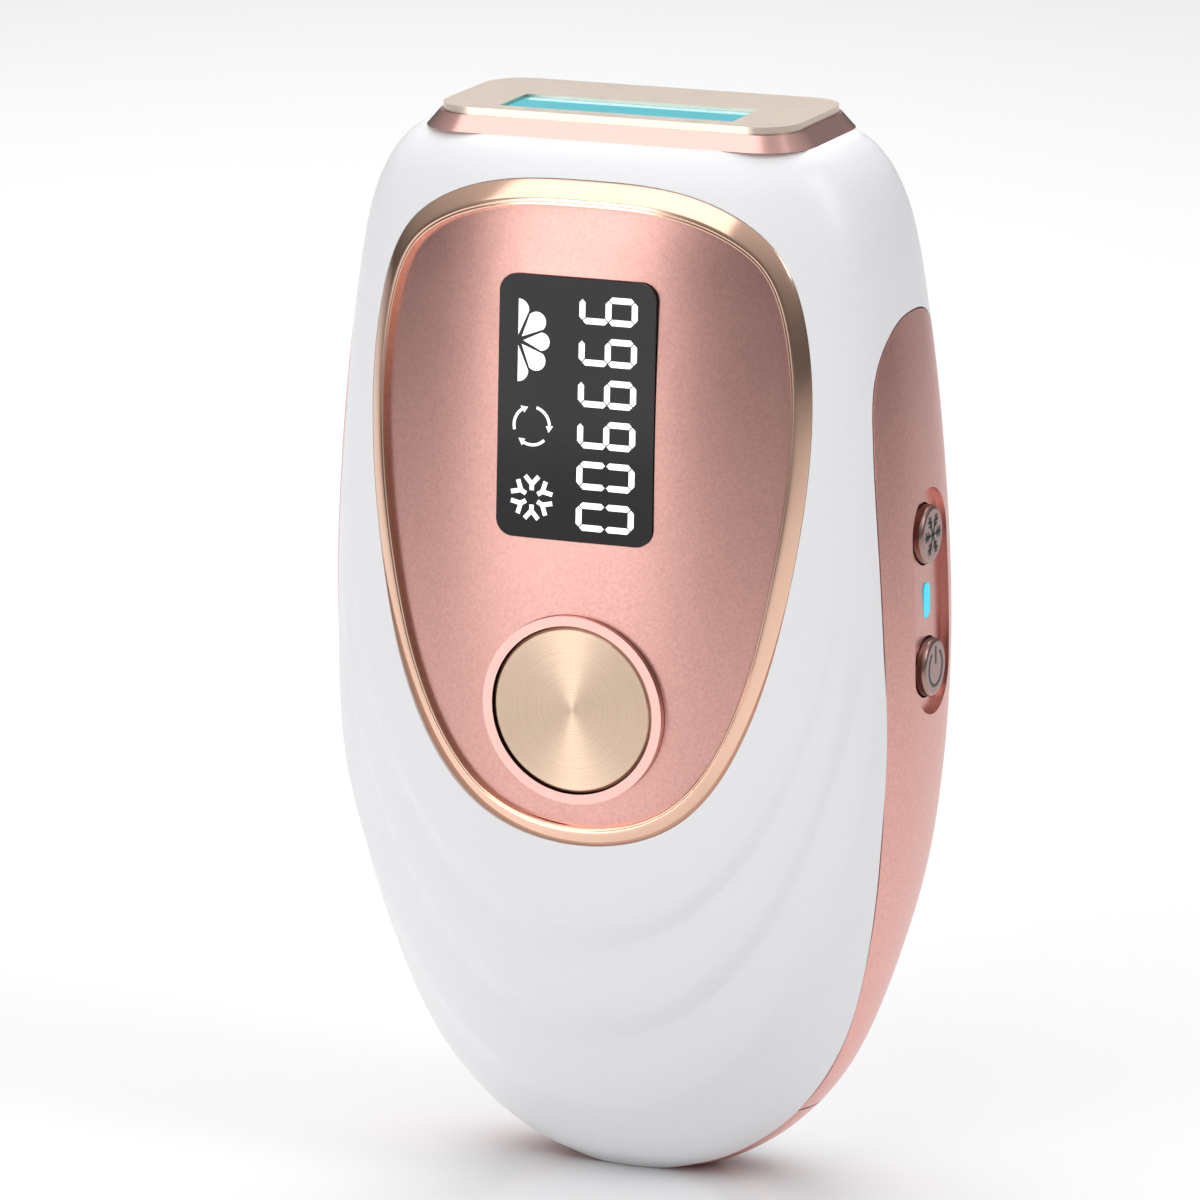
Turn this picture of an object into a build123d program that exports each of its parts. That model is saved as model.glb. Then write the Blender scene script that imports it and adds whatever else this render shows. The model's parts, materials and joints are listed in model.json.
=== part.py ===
from build123d import *
import math
import os

# Hand-held IPL hair remover. Millimetres, +Z up to the treatment window.
# Origin: centre of the small flat the body stands on. The front faces -Y and
# the side with the two small buttons faces +X.

os.makedirs("parts", exist_ok=True)

# ---------------------------------------------------------------- dimensions
# Body sections: height, half width, half depth, squareness of the superellipse.
BODY_SECTIONS = [
    (0.0, 8.5, 4.6, 2.1),
    (1.0, 11.8, 6.2, 2.1),
    (3.0, 15.9, 8.8, 2.1),
    (8.0, 22.8, 11.9, 2.15),
    (16.0, 29.3, 15.3, 2.2),
    (28.0, 34.5, 19.0, 2.3),
    (45.0, 39.2, 21.9, 2.45),
    (65.0, 41.2, 23.5, 2.65),
    (85.0, 41.1, 23.5, 2.8),
    (105.0, 39.7, 22.6, 2.8),
    (120.0, 37.9, 21.4, 2.8),
    (130.0, 36.1, 20.1, 2.8),
    (136.0, 33.7, 18.2, 2.9),
    (139.5, 31.0, 16.2, 3.0),
    (141.2, 28.6, 14.3, 3.1),
]
BODY_TOP = BODY_SECTIONS[-1][0]
LOFT_HEIGHTS = [0.6, 1.5, 3, 5.5, 9, 14, 21, 30, 42, 56, 70, 84, 98, 110, 120, 128, 134, 138.5]
SECTION_POINTS = 32
OUTLINE_STEPS = 40
SEAM_TURN = math.pi / 4   # keeps the surface's own seam off every cut

WALL = 2.6          # shell wall
SKIN = 1.8          # thickness of the side strips and the bottom cap
SEAM = 0.1          # gap round each part let into the shells
FAR = 60.0          # reach of the cutting prisms

# Parting line between the two shells, as depth against height.
PARTING_BEND = (0.0, 96.0)
PARTING_SHOULDER = (12.0, 124.0)

# Egg-shaped front panel: outer edge of its trim, right half, bottom to top.
EGG_BOTTOM = (0.0, 49.4)
EGG_SIDE = [(14.3, 53.7), (23.4, 66.2), (28.5, 84.0), (30.9, 105.0), (29.9, 119.0),
            (25.8, 129.4), (16.0, 135.4)]
EGG_TOP = (0.0, 137.0)
TRIM_WIDTH = 2.3
TRIM_CROWN = 0.9        # extra width where the ring runs over the top
TRIM_PROUD = 0.7
TRIM_SEAT = 1.2
PANEL_GAP = 0.15
PANEL_STEP = 1.2        # how far the thick middle of the panel stays inside its edge
PANEL_THICKNESS = 2.2
PANEL_SUNK = 0.25

# Display.
LENS_CENTRE = (0.0, -22.25, 107.6)
LENS_TILT = 3.5         # degrees, top leaning back
LENS_SIZE = (21.9, 34.4)
LENS_CORNER = 2.3
LENS_THICKNESS = 1.2
DISPLAY_SIZE = (18.6, 30.6)
DISPLAY_DEPTH = 2.6

# Flash button.
FLASH_HEIGHT = 68.0
FLASH_FACE = -24.1
FLASH_RADIUS = 11.1
FLASH_GAP = 0.2
RING_RADIUS = 12.6
RING_FACE = -24.25

# Side strip outline, front half: half width against height, bottom to top.
STRIP_BOTTOM = (4.6, 10.6)
STRIP_SIDE = [(5.3, 21.8), (8.3, 38.7), (10.7, 56.7), (12.1, 78.0), (12.4, 92.0),
              (11.9, 105.0), (9.6, 114.6), (4.9, 118.7)]
STRIP_TOP = (0.0, 119.4)

# Side buttons.
COOLING_HEIGHT = 89.8
POWER_HEIGHT = 72.0
SIDE_BUTTON_RADIUS = 3.9
SIDE_BUTTON_GAP = 0.25
SIDE_BUTTON_PROUD = 0.1
POCKET_RADIUS = 6.2
POCKET_DEPTH = 1.15
STEM_RADIUS = 1.6
SIDE_PLUNGER_TOP = 36.8
INDICATOR_HEIGHT = (COOLING_HEIGHT + POWER_HEIGHT) / 2
INDICATOR_SIZE = (2.2, 4.8)

# Head.
COLLAR_TOP = 143.2
PLATE_TOP = 144.2
COLLAR_BASE = (54.2, 26.8, 7.0)
COLLAR_RIM = (50.8, 23.6, 5.6)
PLATE_SIZE = (50.0, 22.9, 5.4)
HEAD_OPENING = (47.0, 22.4, 4.0)
COLLAR_BORE = (45.0, 20.4, 3.4)
COLD_FRAME_SIZE = (44.6, 20.0, 3.2)
WINDOW_SIZE = (32.6, 8.8)
WINDOW_DEPTH_POSITION = -4.2
WINDOW_TOP = PLATE_TOP - 0.4

# Power inlet for a 5.5 x 2.1 mm barrel plug.
INLET_HOLE_RADIUS = 3.6
SOCKET_RADIUS = 2.85
SOCKET_TOP = 11.5
SOCKET_PIN_RADIUS = 1.05

# Fan.
FAN_HEIGHT = 76.0
FAN_FRONT = 6.6
FAN_DEPTH = 10.4
FAN_SIZE = 41.0
FAN_CHAMBER_RADIUS = 17.2
BLADE_TIP_RADIUS = 15.6
HUB_RADIUS = 7.0
SHAFT_RADIUS = 1.0
SHAFT_CLEARANCE = 0.05
BLADE_COUNT = 13

# Shells.
SHELL_BOSSES = [(-24.0, 30.0), (24.0, 30.0), (-33.0, 104.0), (33.0, 104.0)]
SHELL_BOSS_RADIUS = 2.8
SHELL_SCREW_SEAT = 4.5
FRAME_POSTS = [(-25.0, 52.0), (25.0, 52.0), (-25.0, 95.0), (25.0, 95.0)]
FRAME_POST_RADIUS = 2.4
FRAME_BACK = 6.4
SCREW_RADIUS = 1.0
SCREW_HEAD_RADIUS = 1.9
SCREW_HEAD_DEPTH = 1.4
INTAKE_RADIUS = 12.5
INTAKE_PITCH = 3.6
VENT_SLOT = 1.8
EXHAUST_HEIGHTS = [107.0, 110.6, 114.2, 117.8, 121.4]
EXHAUST_LENGTH = 30.0

# Window mount, lamp, filter and cooling inside the head.
WINDOW_FOOT = 138.2
WINDOW_FLANGE_TOP = 139.4
WINDOW_FLANGE = 1.2
COLD_FRAME_BOTTOM = 139.6
COLD_LEG_X = 17.0
COLD_LEG_Y = (2.8, 4.4)
COLD_LEG_BOTTOM = 117.0
LAMP_HEIGHT = 120.5
LAMP_RADIUS = 3.0
LAMP_BORE = 2.2
LAMP_HALF_LENGTH = 20.0
ELECTRODE_REACH = 25.5
ELECTRODE_PIN_RADIUS = 0.5
HOUSING_HALF_LENGTH = 22.5
HOUSING_BOTTOM = 114.0
HOUSING_STEP = 130.0
HOUSING_TOP = 137.9
REFLECTOR_HALF_LENGTH = 17.0
REFLECTOR_SHEET = 0.6
REFLECTOR_RADIUS = 4.1
REFLECTOR_TOP = 136.4
FILTER_SIZE = (35.0, 10.4)
FILTER_Z = (136.5, 137.7)
COOLER_SIZE = 15.0
COOLER_THICKNESS = 3.2
COOLER_BOTTOM = 118.0
SINK_HALF_WIDTH = 19.0
SINK_BASE = 1.8
SINK_BOTTOM = 101.0
SINK_BASE_TOP = 134.0
FIN_TOP = 126.0
FIN_BACK = 16.0
FIN_COUNT = 11
FIN_THICKNESS = 0.9

# Display board, ring and flash button behind the panel.
DISPLAY_BOARD_Y = (-17.0, -15.8)
DISPLAY_BOARD_X = 17.8
DISPLAY_BOARD_Z = (56.0, 122.0)
DISPLAY_POSTS = [(-15.6, 66.0), (15.6, 66.0), (-14.5, 119.0), (14.5, 119.0)]
DISPLAY_POST_RADIUS = 1.8
SMALL_SCREW_RADIUS = 0.7
SMALL_SCREW_HEAD = 1.4
GASKET = 0.4
RING_FLANGE_BACK = -22.6
RING_TUBE_RADIUS = 12.1
RING_BACK = -20.4
FLASH_CAP = 1.2
CARRIER_RADIUS = 10.9
CARRIER_WALL = 1.0
CARRIER_PLATE = 0.8
CARRIER_RIM_RADIUS = 11.9
CARRIER_RIM = (-20.3, -19.6)
FLASH_PLUNGER_TOP = -21.35
SWITCH_HALF = 3.0
FLASH_SWITCH_TOP = -20.5
PLUNGER_RADIUS = 1.5
PLUNGER_SUNK = 0.3
PLUNGER_WELL = 1.1

# Side buttons' flanges, switches and board.
SIDE_FLANGE_RADIUS = 4.6
SIDE_FLANGE = (1.1, 0.6)
SIDE_SWITCH_X = (33.0, 36.0)
SIDE_BOARD_X = (31.8, 33.0)
SIDE_BOARD_Z = (64.0, 98.0)
SIDE_BOARD_Y = 8.0

# Inside the fan.
FAN_WALL = 1.4
FAN_COVER = 1.2
FAN_BACK = FAN_FRONT + FAN_DEPTH
CHAMBER_FRONT = FAN_FRONT + FAN_WALL
CHAMBER_BACK = FAN_BACK - FAN_COVER
BEARING_RADIUS = 2.4
BEARING_BACK = 13.0
STATOR_RADIUS = 5.4
STATOR_BACK = 12.6
CUP_FRONT = 8.8
CUP_BACK = 14.8
CUP_WALL = 1.0
BLADE_THICKNESS = 0.8
BLADE_LEAN = 25.0
INLET_RADIUS = 11.5

# Electronics.
FRAME_FRONT = 5.2
FRAME_X = 28.0
FRAME_Z = (46.0, 101.0)
FRAME_TAIL_X = 18.0
FRAME_TAIL_BOTTOM = 22.0
BOARD_Y = (2.6, 4.2)
BOARD_X = 19.6
BOARD_Z = (20.0, 101.0)
BOARD_SCREWS = [(-17.3, 98.3), (17.3, 98.3), (-15.0, 23.5), (15.0, 23.5)]
STANDOFF_RADIUS = 2.2
CAPACITOR_RADIUS = 7.5
CAPACITOR_Z = (27.0, 59.0)
CAPACITOR_PLACES = [-9.5, 9.5]
CAPACITOR_Y = -5.0
LEAD_PIN = 0.4
WIRE_RADIUS = 0.8
CONNECTOR_BLOCKS = [
    ((8, 12), (-1.4, 2.6), (96, 100.5)),
    ((-12, -8), (-1.4, 2.6), (96, 100.5)),
    ((-4, 4), (-2.0, 2.6), (20.5, 24.5)),
    ((17.4, 19.5), (-0.4, 2.6), (38, 44)),
    ((16.5, 19.5), (0.2, 2.6), (75, 81)),
    ((-3.6, 3.6), (1.0, 2.6), (77, 81)),
    ((-3.6, 3.6), (-15.8, -14.2), (59.5, 62.5)),
]
CAPACITOR_CRIMP = (29.5, 30.3)
CAPACITOR_CRIMP_RADIUS = 7.1
CAPACITOR_PIN_SPREAD = 2.0
CAPACITOR_PIN_DROP = 1.8
TRANSFORMER_X = (-19.0, -5.0)
TRANSFORMER_Z = (80.0, 94.0)
TRANSFORMER_FRONT = -8.4
TRANSFORMER_STEP = 2.0
TRANSFORMER_YOKE = 3.0
WINDING_Y = -4.6
WINDING_RADIUS = 4.2
TRANSISTOR_X = (5.0, 14.0)
TRANSISTOR_Z = (76.0, 86.0, 93.0)
TRANSISTOR_FRONT = -1.6
TRANSISTOR_TAB = 1.2
TRANSISTOR_HOLE_RADIUS = 1.6
INDUCTOR_PLACE = (-11.0, 69.0)
INDUCTOR_RADIUS = 6.5
INDUCTOR_BORE = 2.6
INDUCTOR_FRONT = -3.4
COIL_PLACE = (-1.6, 66.0)
COIL_X = (5.0, 15.0)
COIL_RADIUS = 4.2
COIL_CORE_RADIUS = 3.2
COIL_CORE_PROUD = 0.8
CHIP_X = (-5.0, 5.0)
CHIP_Z = (98.0, 108.0)
CHIP_THICKNESS = 1.2

# Body of the power inlet.
SOCKET_BODY_TOP = 15.0
SOCKET_BODY_HALF = 4.6
SOCKET_NOSE_RADIUS = 3.5
SOCKET_MOUTH = 0.5
SOCKET_BODY_BOTTOM = 3.0
SOCKET_PIN_TIP = 1.2
SOCKET_PIN_ROOT = (11.3, 13.0)
SOCKET_PIN_ROOT_RADIUS = 0.8

# Routes of the wires and flat cables, corner by corner.
LAMP_LEAD_ROUTE = [(24.8, WINDOW_DEPTH_POSITION, LAMP_HEIGHT - ELECTRODE_PIN_RADIUS),
                   (24.8, WINDOW_DEPTH_POSITION, 111.0), (10.0, 0.6, 106.5), (10.0, 0.6, 100.5)]
LAMP_LEAD_BEND = 2.4
INLET_LEAD_ROUTE = [(2.0, 0.0, 15.0), (2.0, 0.0, 17.6), (2.5, -0.4, 18.6), (2.5, -0.4, 20.5)]
INLET_LEAD_BEND = 1.2
FAN_LEAD_ROUTE = [(17.5, 9.2, FAN_HEIGHT - FAN_SIZE / 2), (17.5, 9.2, 50.0), (21.6, 9.2, 43.5),
                  (21.6, 1.0, 41.0), (19.5, 1.0, 41.0)]
FAN_LEAD_BEND = 1.5
DISPLAY_RIBBON_ROUTE = [(0.0, -14.2, 61.0), (0.0, -8.5, 61.0), (0.0, -5.0, 79.0), (0.0, 1.0, 79.0)]
DISPLAY_RIBBON_WIDTH = 6.0
DISPLAY_RIBBON_BEND = 2.0
SIDE_RIBBON_ROUTE = [(SIDE_BOARD_X[0], -1.2, 78.0), (27.0, -1.2, 78.0), (24.0, 1.4, 78.0),
                     (19.5, 1.4, 78.0)]
SIDE_RIBBON_WIDTH = 5.0
SIDE_RIBBON_BEND = 1.5
RIBBON_THICKNESS = 0.3


# ------------------------------------------------------------------- helpers
def body_size(height):
    """Half width, half depth and squareness at a height: a smooth curve
    through the sections, spaced by the square root of the height."""
    rows = BODY_SECTIONS
    spots = [math.sqrt(row[0]) for row in rows]
    here = math.sqrt(min(max(height, 0.0), BODY_TOP))
    index = max(i for i in range(len(rows) - 1) if spots[i] <= here)
    span = spots[index + 1] - spots[index]
    t = (here - spots[index]) / span
    values = []
    for column in (1, 2, 3):
        def slope(i):
            first = max(i - 1, 0)
            last = min(i + 1, len(rows) - 1)
            return (rows[last][column] - rows[first][column]) / (spots[last] - spots[first])
        start = rows[index][column]
        end = rows[index + 1][column]
        values.append(start * (2 * t**3 - 3 * t**2 + 1) + end * (3 * t**2 - 2 * t**3)
                      + span * slope(index) * (t**3 - 2 * t**2 + t)
                      + span * slope(index + 1) * (t**3 - t**2))
    return values


def section_face(height, inset):
    """Body section at a height, moved in by a wall thickness measured square
    to the surface."""
    half_width, half_depth, squareness = body_size(height)
    step = 0.2
    above = body_size(height + step)
    below = body_size(max(height - step, 0.0))
    rise = min(height + step, BODY_TOP) - max(height - step, 0.0)
    half_width -= inset * math.hypot(1, (above[0] - below[0]) / rise)
    half_depth -= inset * math.hypot(1, (above[1] - below[1]) / rise)
    points = []
    for number in range(SECTION_POINTS):
        turn = 2 * math.pi * (number + 0.5) / SECTION_POINTS + SEAM_TURN
        reach = (abs(math.cos(turn))**squareness + abs(math.sin(turn))**squareness)**(-1 / squareness)
        points.append((half_width * reach * math.cos(turn), half_depth * reach * math.sin(turn), height))
    return make_face(Spline(*points, periodic=True))


def body_solid(inset=0.0, top=BODY_TOP):
    """The body's outer form, or the same form moved in by an inset."""
    start = max(inset, 0.0)
    heights = [start] + [z for z in LOFT_HEIGHTS if start + 0.7 < z < top - 1.5] + [top]
    return loft([section_face(z, inset) for z in heights])


def front_prism(outline, start, end):
    """A face drawn in X and Z, extruded along Y from start to end."""
    face = Plane((0, start, 0), x_dir=(1, 0, 0), z_dir=(0, -1, 0)) * outline
    return extrude(face, amount=start - end, dir=(0, -1, 0))


def side_prism(outline, start, end):
    """A face drawn in Y and Z, extruded along X from start to end."""
    face = Plane((start, 0, 0), x_dir=(0, 1, 0), z_dir=(1, 0, 0)) * outline
    return extrude(face, amount=end - start, dir=(1, 0, 0))


def block(x, y, z):
    """A box between pairs of limits."""
    size = (x[1] - x[0], y[1] - y[0], z[1] - z[0])
    centre = ((x[0] + x[1]) / 2, (y[0] + y[1]) / 2, (z[0] + z[1]) / 2)
    return Pos(*centre) * Box(*size)


def rod(axis, centre, radius, start, end):
    """A cylinder along X, Y or Z; centre holds its two other coordinates."""
    length = end - start
    middle = (start + end) / 2
    if axis == "X":
        return Pos(middle, centre[0], centre[1]) * Rot(0, 90, 0) * Cylinder(radius, length)
    if axis == "Y":
        return Pos(centre[0], middle, centre[1]) * Rot(90, 0, 0) * Cylinder(radius, length)
    return Pos(centre[0], centre[1], middle) * Cylinder(radius, length)


def rounded_slab(size, z):
    """A slab with rounded corners between two heights."""
    width, depth, corner = size
    return extrude(Pos(0, 0, z[0]) * RectangleRounded(width, depth, corner), amount=z[1] - z[0])


def moved_in(curve, inset, stops, crown=0.0):
    """Points of an anticlockwise outline, moved square to it to the inside.
    The crown is an extra move where the outline faces up."""
    points = []
    for stop in stops:
        along = curve % stop
        move = inset + crown * max(-along.X, 0.0)**2
        points.append(curve @ stop + Vector(-along.Y, along.X) * move)
    return points


def egg_face(inset=0.0, crown=0.0):
    """The egg outline, moved in by an inset, and further at its crown."""
    points = [EGG_BOTTOM] + EGG_SIDE + [EGG_TOP] + [(-x, z) for x, z in reversed(EGG_SIDE)]
    curve = Spline(*points, periodic=True)
    if inset:
        stops = [number / OUTLINE_STEPS for number in range(OUTLINE_STEPS)]
        points = moved_in(curve, inset, stops, crown)
        curve = Spline(*points, periodic=True)
    return make_face(curve)


def strip_face(inset=0.0):
    """The side strip's leaf outline, moved in by an inset."""
    points = [STRIP_BOTTOM] + STRIP_SIDE + [STRIP_TOP]
    points += [(-y, z) for y, z in reversed(STRIP_SIDE)] + [(-STRIP_BOTTOM[0], STRIP_BOTTOM[1])]
    curve = Spline(*points)
    if inset:
        points = moved_in(curve, inset, [number / OUTLINE_STEPS for number in range(OUTLINE_STEPS + 1)])
        for end in (0, -1):
            points[end] = Vector(points[end].X, STRIP_BOTTOM[1] + inset)
        curve = Spline(*points)
    return make_face([curve, Line(curve @ 1, curve @ 0)])


def tilted(shape):
    """Turns a shape drawn flat about the display's centre to the lens's tilt."""
    return Pos(*LENS_CENTRE) * Rot(-LENS_TILT, 0, 0) * Pos(*[-v for v in LENS_CENTRE]) * shape


def write(name, *solids):
    """One STEP file per node."""
    shape = solids[0] if len(solids) == 1 else Compound(children=list(solids))
    export_step(shape, f"parts/{name}.step")


# -------------------------------------------------------------------- forms
OUTER = body_solid()
CAVITY = body_solid(WALL, BODY_TOP - WALL)
UNDER_SKIN = body_solid(SKIN)


# ------------------------------------------------------------------- shells
def parting_prism(reach):
    """Everything on one side of the parting line, which runs straight up
    under the side strips, then swept back over the shoulders. A negative
    reach is the front, a positive one the back."""
    line = FilletPolyline((0, -FAR / 4), PARTING_BEND, PARTING_SHOULDER, (PARTING_SHOULDER[0], 3 * FAR),
                          radius=20)
    edge = Polyline(line @ 1, (reach, 3 * FAR), (reach, -FAR / 4), line @ 0)
    return side_prism(make_face([line, edge]), -FAR, FAR)


def strip_block(side, inset):
    """The strip's outline run through the wall on one side of the body."""
    block_in = side_prism(strip_face(inset), 8, FAR)
    return block_in if side > 0 else mirror(block_in, Plane.YZ)


def cap_block(inset):
    """The band under the body that the bottom cap fills."""
    half = STRIP_BOTTOM[0] - inset
    return block((-FAR, FAR), (-half, half), (-1, STRIP_BOTTOM[1] - inset))


def shell_form():
    """Hollow body with every seat and opening, before it is parted."""
    form = OUTER - CAVITY
    pillars = [rod("Y", centre, SHELL_BOSS_RADIUS, -FAR / 2, FAR / 2) for centre in SHELL_BOSSES]
    pillars += [rod("Y", centre, FRAME_POST_RADIUS, FRAME_BACK, FAR / 2) for centre in FRAME_POSTS]
    form += Part() + [pillar & OUTER for pillar in pillars]
    for side in (-1, 1):
        form -= strip_block(side, 0) - UNDER_SKIN
    form -= cap_block(0) - UNDER_SKIN
    form -= rounded_slab(HEAD_OPENING, (BODY_TOP - 2 * WALL, BODY_TOP + 1))
    form -= rod("Z", (0, 0), INLET_HOLE_RADIUS, -1, 2 * WALL)
    return form


def side_button_holes():
    """Openings through strip and shell for both buttons and the light pipe."""
    radius = SIDE_BUTTON_RADIUS + SIDE_BUTTON_GAP
    holes = rod("X", (0, COOLING_HEIGHT), radius, 30, FAR)
    holes += rod("X", (0, POWER_HEIGHT), radius, 30, FAR)
    holes += indicator_prism(SEAM / 2, 30, FAR)
    return holes


def indicator_prism(grow, start, end):
    """Round-ended bar for the indicator's light pipe and its slot."""
    width, height = INDICATOR_SIZE
    outline = SlotOverall(height + 2 * grow, width + 2 * grow, rotation=90)
    return side_prism(Pos(0, INDICATOR_HEIGHT) * outline, start, end)


def front_shell(form):
    """Front half, with the stepped seat for the panel and its trim."""
    shell = form - parting_prism(FAR)
    shell -= front_prism(egg_face(), -5, -FAR) - body_solid(TRIM_SEAT)
    shell -= front_prism(egg_face(TRIM_WIDTH + PANEL_STEP, TRIM_CROWN), -5, -FAR)
    shell -= side_button_holes()
    for x, z in SHELL_BOSSES:
        shell -= rod("Y", (x, z), SCREW_RADIUS, -8, SHELL_SCREW_SEAT + 1)
    return shell


def vent_slot(length, height):
    """One round-ended slot through the back wall."""
    return front_prism(Pos(0, height) * SlotOverall(length, VENT_SLOT), FAR, 10)


def back_shell(form):
    """Back half, with the fan's intake, the exhaust slots and screw holes."""
    shell = form - parting_prism(-FAR) - side_button_holes()
    rows = int(INTAKE_RADIUS / INTAKE_PITCH)
    for row in range(-rows, rows + 1):
        chord = 2 * math.sqrt(INTAKE_RADIUS**2 - (row * INTAKE_PITCH)**2)
        shell -= vent_slot(chord, FAN_HEIGHT + row * INTAKE_PITCH)
    for height in EXHAUST_HEIGHTS:
        shell -= vent_slot(EXHAUST_LENGTH, height)
    for x, z in SHELL_BOSSES:
        shell -= rod("Y", (x, z), SCREW_RADIUS, -1, FAR)
        shell -= rod("Y", (x, z), SCREW_HEAD_RADIUS + SEAM, SHELL_SCREW_SEAT, FAR)
    for x, z in FRAME_POSTS:
        shell -= rod("Y", (x, z), SCREW_RADIUS, FRAME_BACK - 1, FRAME_BACK + 5)
    return shell


def side_strip(side):
    """Leaf-shaped strip let into one flank."""
    return (strip_block(side, SEAM) & OUTER) - UNDER_SKIN


def right_strip():
    """The strip with the sunk pocket for the two small buttons."""
    height = COOLING_HEIGHT - POWER_HEIGHT + 2 * POCKET_RADIUS
    pocket = Pos(0, INDICATOR_HEIGHT) * SlotOverall(height, 2 * POCKET_RADIUS, rotation=90)
    pocket_block = side_prism(pocket, 8, FAR) - body_solid(POCKET_DEPTH)
    return side_strip(1) - pocket_block - side_button_holes()


def bottom_cap():
    """Band that joins the two strips under the body, with the inlet hole."""
    cap = (cap_block(SEAM) & OUTER) - UNDER_SKIN
    return cap - rod("Z", (0, 0), INLET_HOLE_RADIUS, -1, 2 * WALL)


# --------------------------------------------------------------------- head
def head_collar():
    """Tapered ring round the head, with a skirt down into the shells."""
    base_width, base_depth, base_corner = COLLAR_BASE
    rim_width, rim_depth, rim_corner = COLLAR_RIM
    base = Pos(0, 0, BODY_TOP) * RectangleRounded(base_width, base_depth, base_corner)
    rim = Pos(0, 0, COLLAR_TOP) * RectangleRounded(rim_width, rim_depth, rim_corner)
    collar = loft([base, rim])
    width, depth, corner = HEAD_OPENING
    skirt = (width - 2 * SEAM, depth - 2 * SEAM, corner - SEAM)
    collar += rounded_slab(skirt, (BODY_TOP - WALL, BODY_TOP))
    return collar - rounded_slab(COLLAR_BORE, (BODY_TOP - 2 * WALL, COLLAR_TOP + 1))


def window_block(grow, z):
    """The window's rectangle between two heights."""
    width, depth = WINDOW_SIZE
    x = (-width / 2 - grow, width / 2 + grow)
    y = (WINDOW_DEPTH_POSITION - depth / 2 - grow, WINDOW_DEPTH_POSITION + depth / 2 + grow)
    return block(x, y, z)


def head_plate():
    """Metal plate that rests on the skin round the window."""
    return rounded_slab(PLATE_SIZE, (COLLAR_TOP, PLATE_TOP)) - window_block(SEAM / 2, (0, 200))


def sapphire_window():
    """Clear block in the plate, with a flange that holds it from inside."""
    return (window_block(0, (WINDOW_FOOT, WINDOW_TOP))
            + window_block(WINDOW_FLANGE, (WINDOW_FOOT, WINDOW_FLANGE_TOP)))


def cold_frame():
    """Aluminium frame that draws heat from the plate and window to the
    cooling modules behind."""
    frame = rounded_slab(COLD_FRAME_SIZE, (COLD_FRAME_BOTTOM, COLLAR_TOP))
    frame -= window_block(SEAM, (0, 200))
    frame += block((-COLD_LEG_X, COLD_LEG_X), COLD_LEG_Y, (COLD_LEG_BOTTOM, COLD_FRAME_BOTTOM))
    return frame


def trough(radius, half_length, top):
    """Round-bottomed channel above the lamp's centre line, along X."""
    y = WINDOW_DEPTH_POSITION
    round_part = rod("X", (y, LAMP_HEIGHT), radius, -half_length, half_length)
    return round_part + block((-half_length, half_length), (y - radius, y + radius), (LAMP_HEIGHT, top))


def reflector():
    """Polished channel round the lamp."""
    outside = trough(REFLECTOR_RADIUS + REFLECTOR_SHEET, REFLECTOR_HALF_LENGTH, REFLECTOR_TOP)
    return outside - trough(REFLECTOR_RADIUS, REFLECTOR_HALF_LENGTH + 1, REFLECTOR_TOP + 1)


def filter_block(grow):
    """The filter glass's block, or its pocket."""
    half_x = FILTER_SIZE[0] / 2 + grow
    half_y = FILTER_SIZE[1] / 2 + grow
    y = WINDOW_DEPTH_POSITION
    return block((-half_x, half_x), (y - half_y, y + half_y), (FILTER_Z[0] - grow, FILTER_Z[1] + 5 * grow))


def lamp_housing():
    """Heat-proof body that holds lamp, reflector and filter."""
    y = WINDOW_DEPTH_POSITION
    housing = block((-HOUSING_HALF_LENGTH, HOUSING_HALF_LENGTH), (y - 6.6, y + 6.6),
                    (HOUSING_BOTTOM, HOUSING_STEP))
    housing += block((-19, 19), (y - 6.2, y + 6.2), (HOUSING_STEP, HOUSING_TOP))
    housing -= trough(REFLECTOR_RADIUS + REFLECTOR_SHEET, REFLECTOR_HALF_LENGTH, HOUSING_TOP + 1)
    housing -= rod("X", (y, LAMP_HEIGHT), LAMP_RADIUS, -FAR, FAR)
    return housing - filter_block(SEAM)


def flash_lamp_tube():
    """Quartz tube."""
    centre = (WINDOW_DEPTH_POSITION, LAMP_HEIGHT)
    return (rod("X", centre, LAMP_RADIUS, -LAMP_HALF_LENGTH, LAMP_HALF_LENGTH)
            - rod("X", centre, LAMP_BORE, -FAR, FAR))


def lamp_electrodes():
    """A metal electrode with its pin at each end of the tube."""
    centre = (WINDOW_DEPTH_POSITION, LAMP_HEIGHT)
    right = rod("X", centre, LAMP_BORE, LAMP_HALF_LENGTH - 4, LAMP_HALF_LENGTH)
    right += rod("X", centre, ELECTRODE_PIN_RADIUS, LAMP_HALF_LENGTH, ELECTRODE_REACH)
    return [right, mirror(right, Plane.YZ)]


def cooling_modules():
    """Two flat thermoelectric modules side by side."""
    y = (COLD_LEG_Y[1], COLD_LEG_Y[1] + COOLER_THICKNESS)
    z = (COOLER_BOTTOM, COOLER_BOTTOM + COOLER_SIZE)
    return [block((1, 1 + COOLER_SIZE), y, z), block((-1 - COOLER_SIZE, -1), y, z)]


def heat_sink():
    """Finned aluminium block on the modules' hot side."""
    front = COLD_LEG_Y[1] + COOLER_THICKNESS
    sink = block((-SINK_HALF_WIDTH, SINK_HALF_WIDTH), (front, front + SINK_BASE),
                 (SINK_BOTTOM, SINK_BASE_TOP))
    pitch = (2 * SINK_HALF_WIDTH - FIN_THICKNESS) / (FIN_COUNT - 1)
    for number in range(FIN_COUNT):
        left = -SINK_HALF_WIDTH + number * pitch
        sink += block((left, left + FIN_THICKNESS), (front, FIN_BACK), (SINK_BOTTOM, FIN_TOP))
    return sink


def temperature_sensor():
    """Bead clipped to the edge of the cold frame's leg."""
    return block((COLD_LEG_X, COLD_LEG_X + 2.4), (COLD_LEG_Y[0], COLD_LEG_Y[1]), (131, 134))


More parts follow.
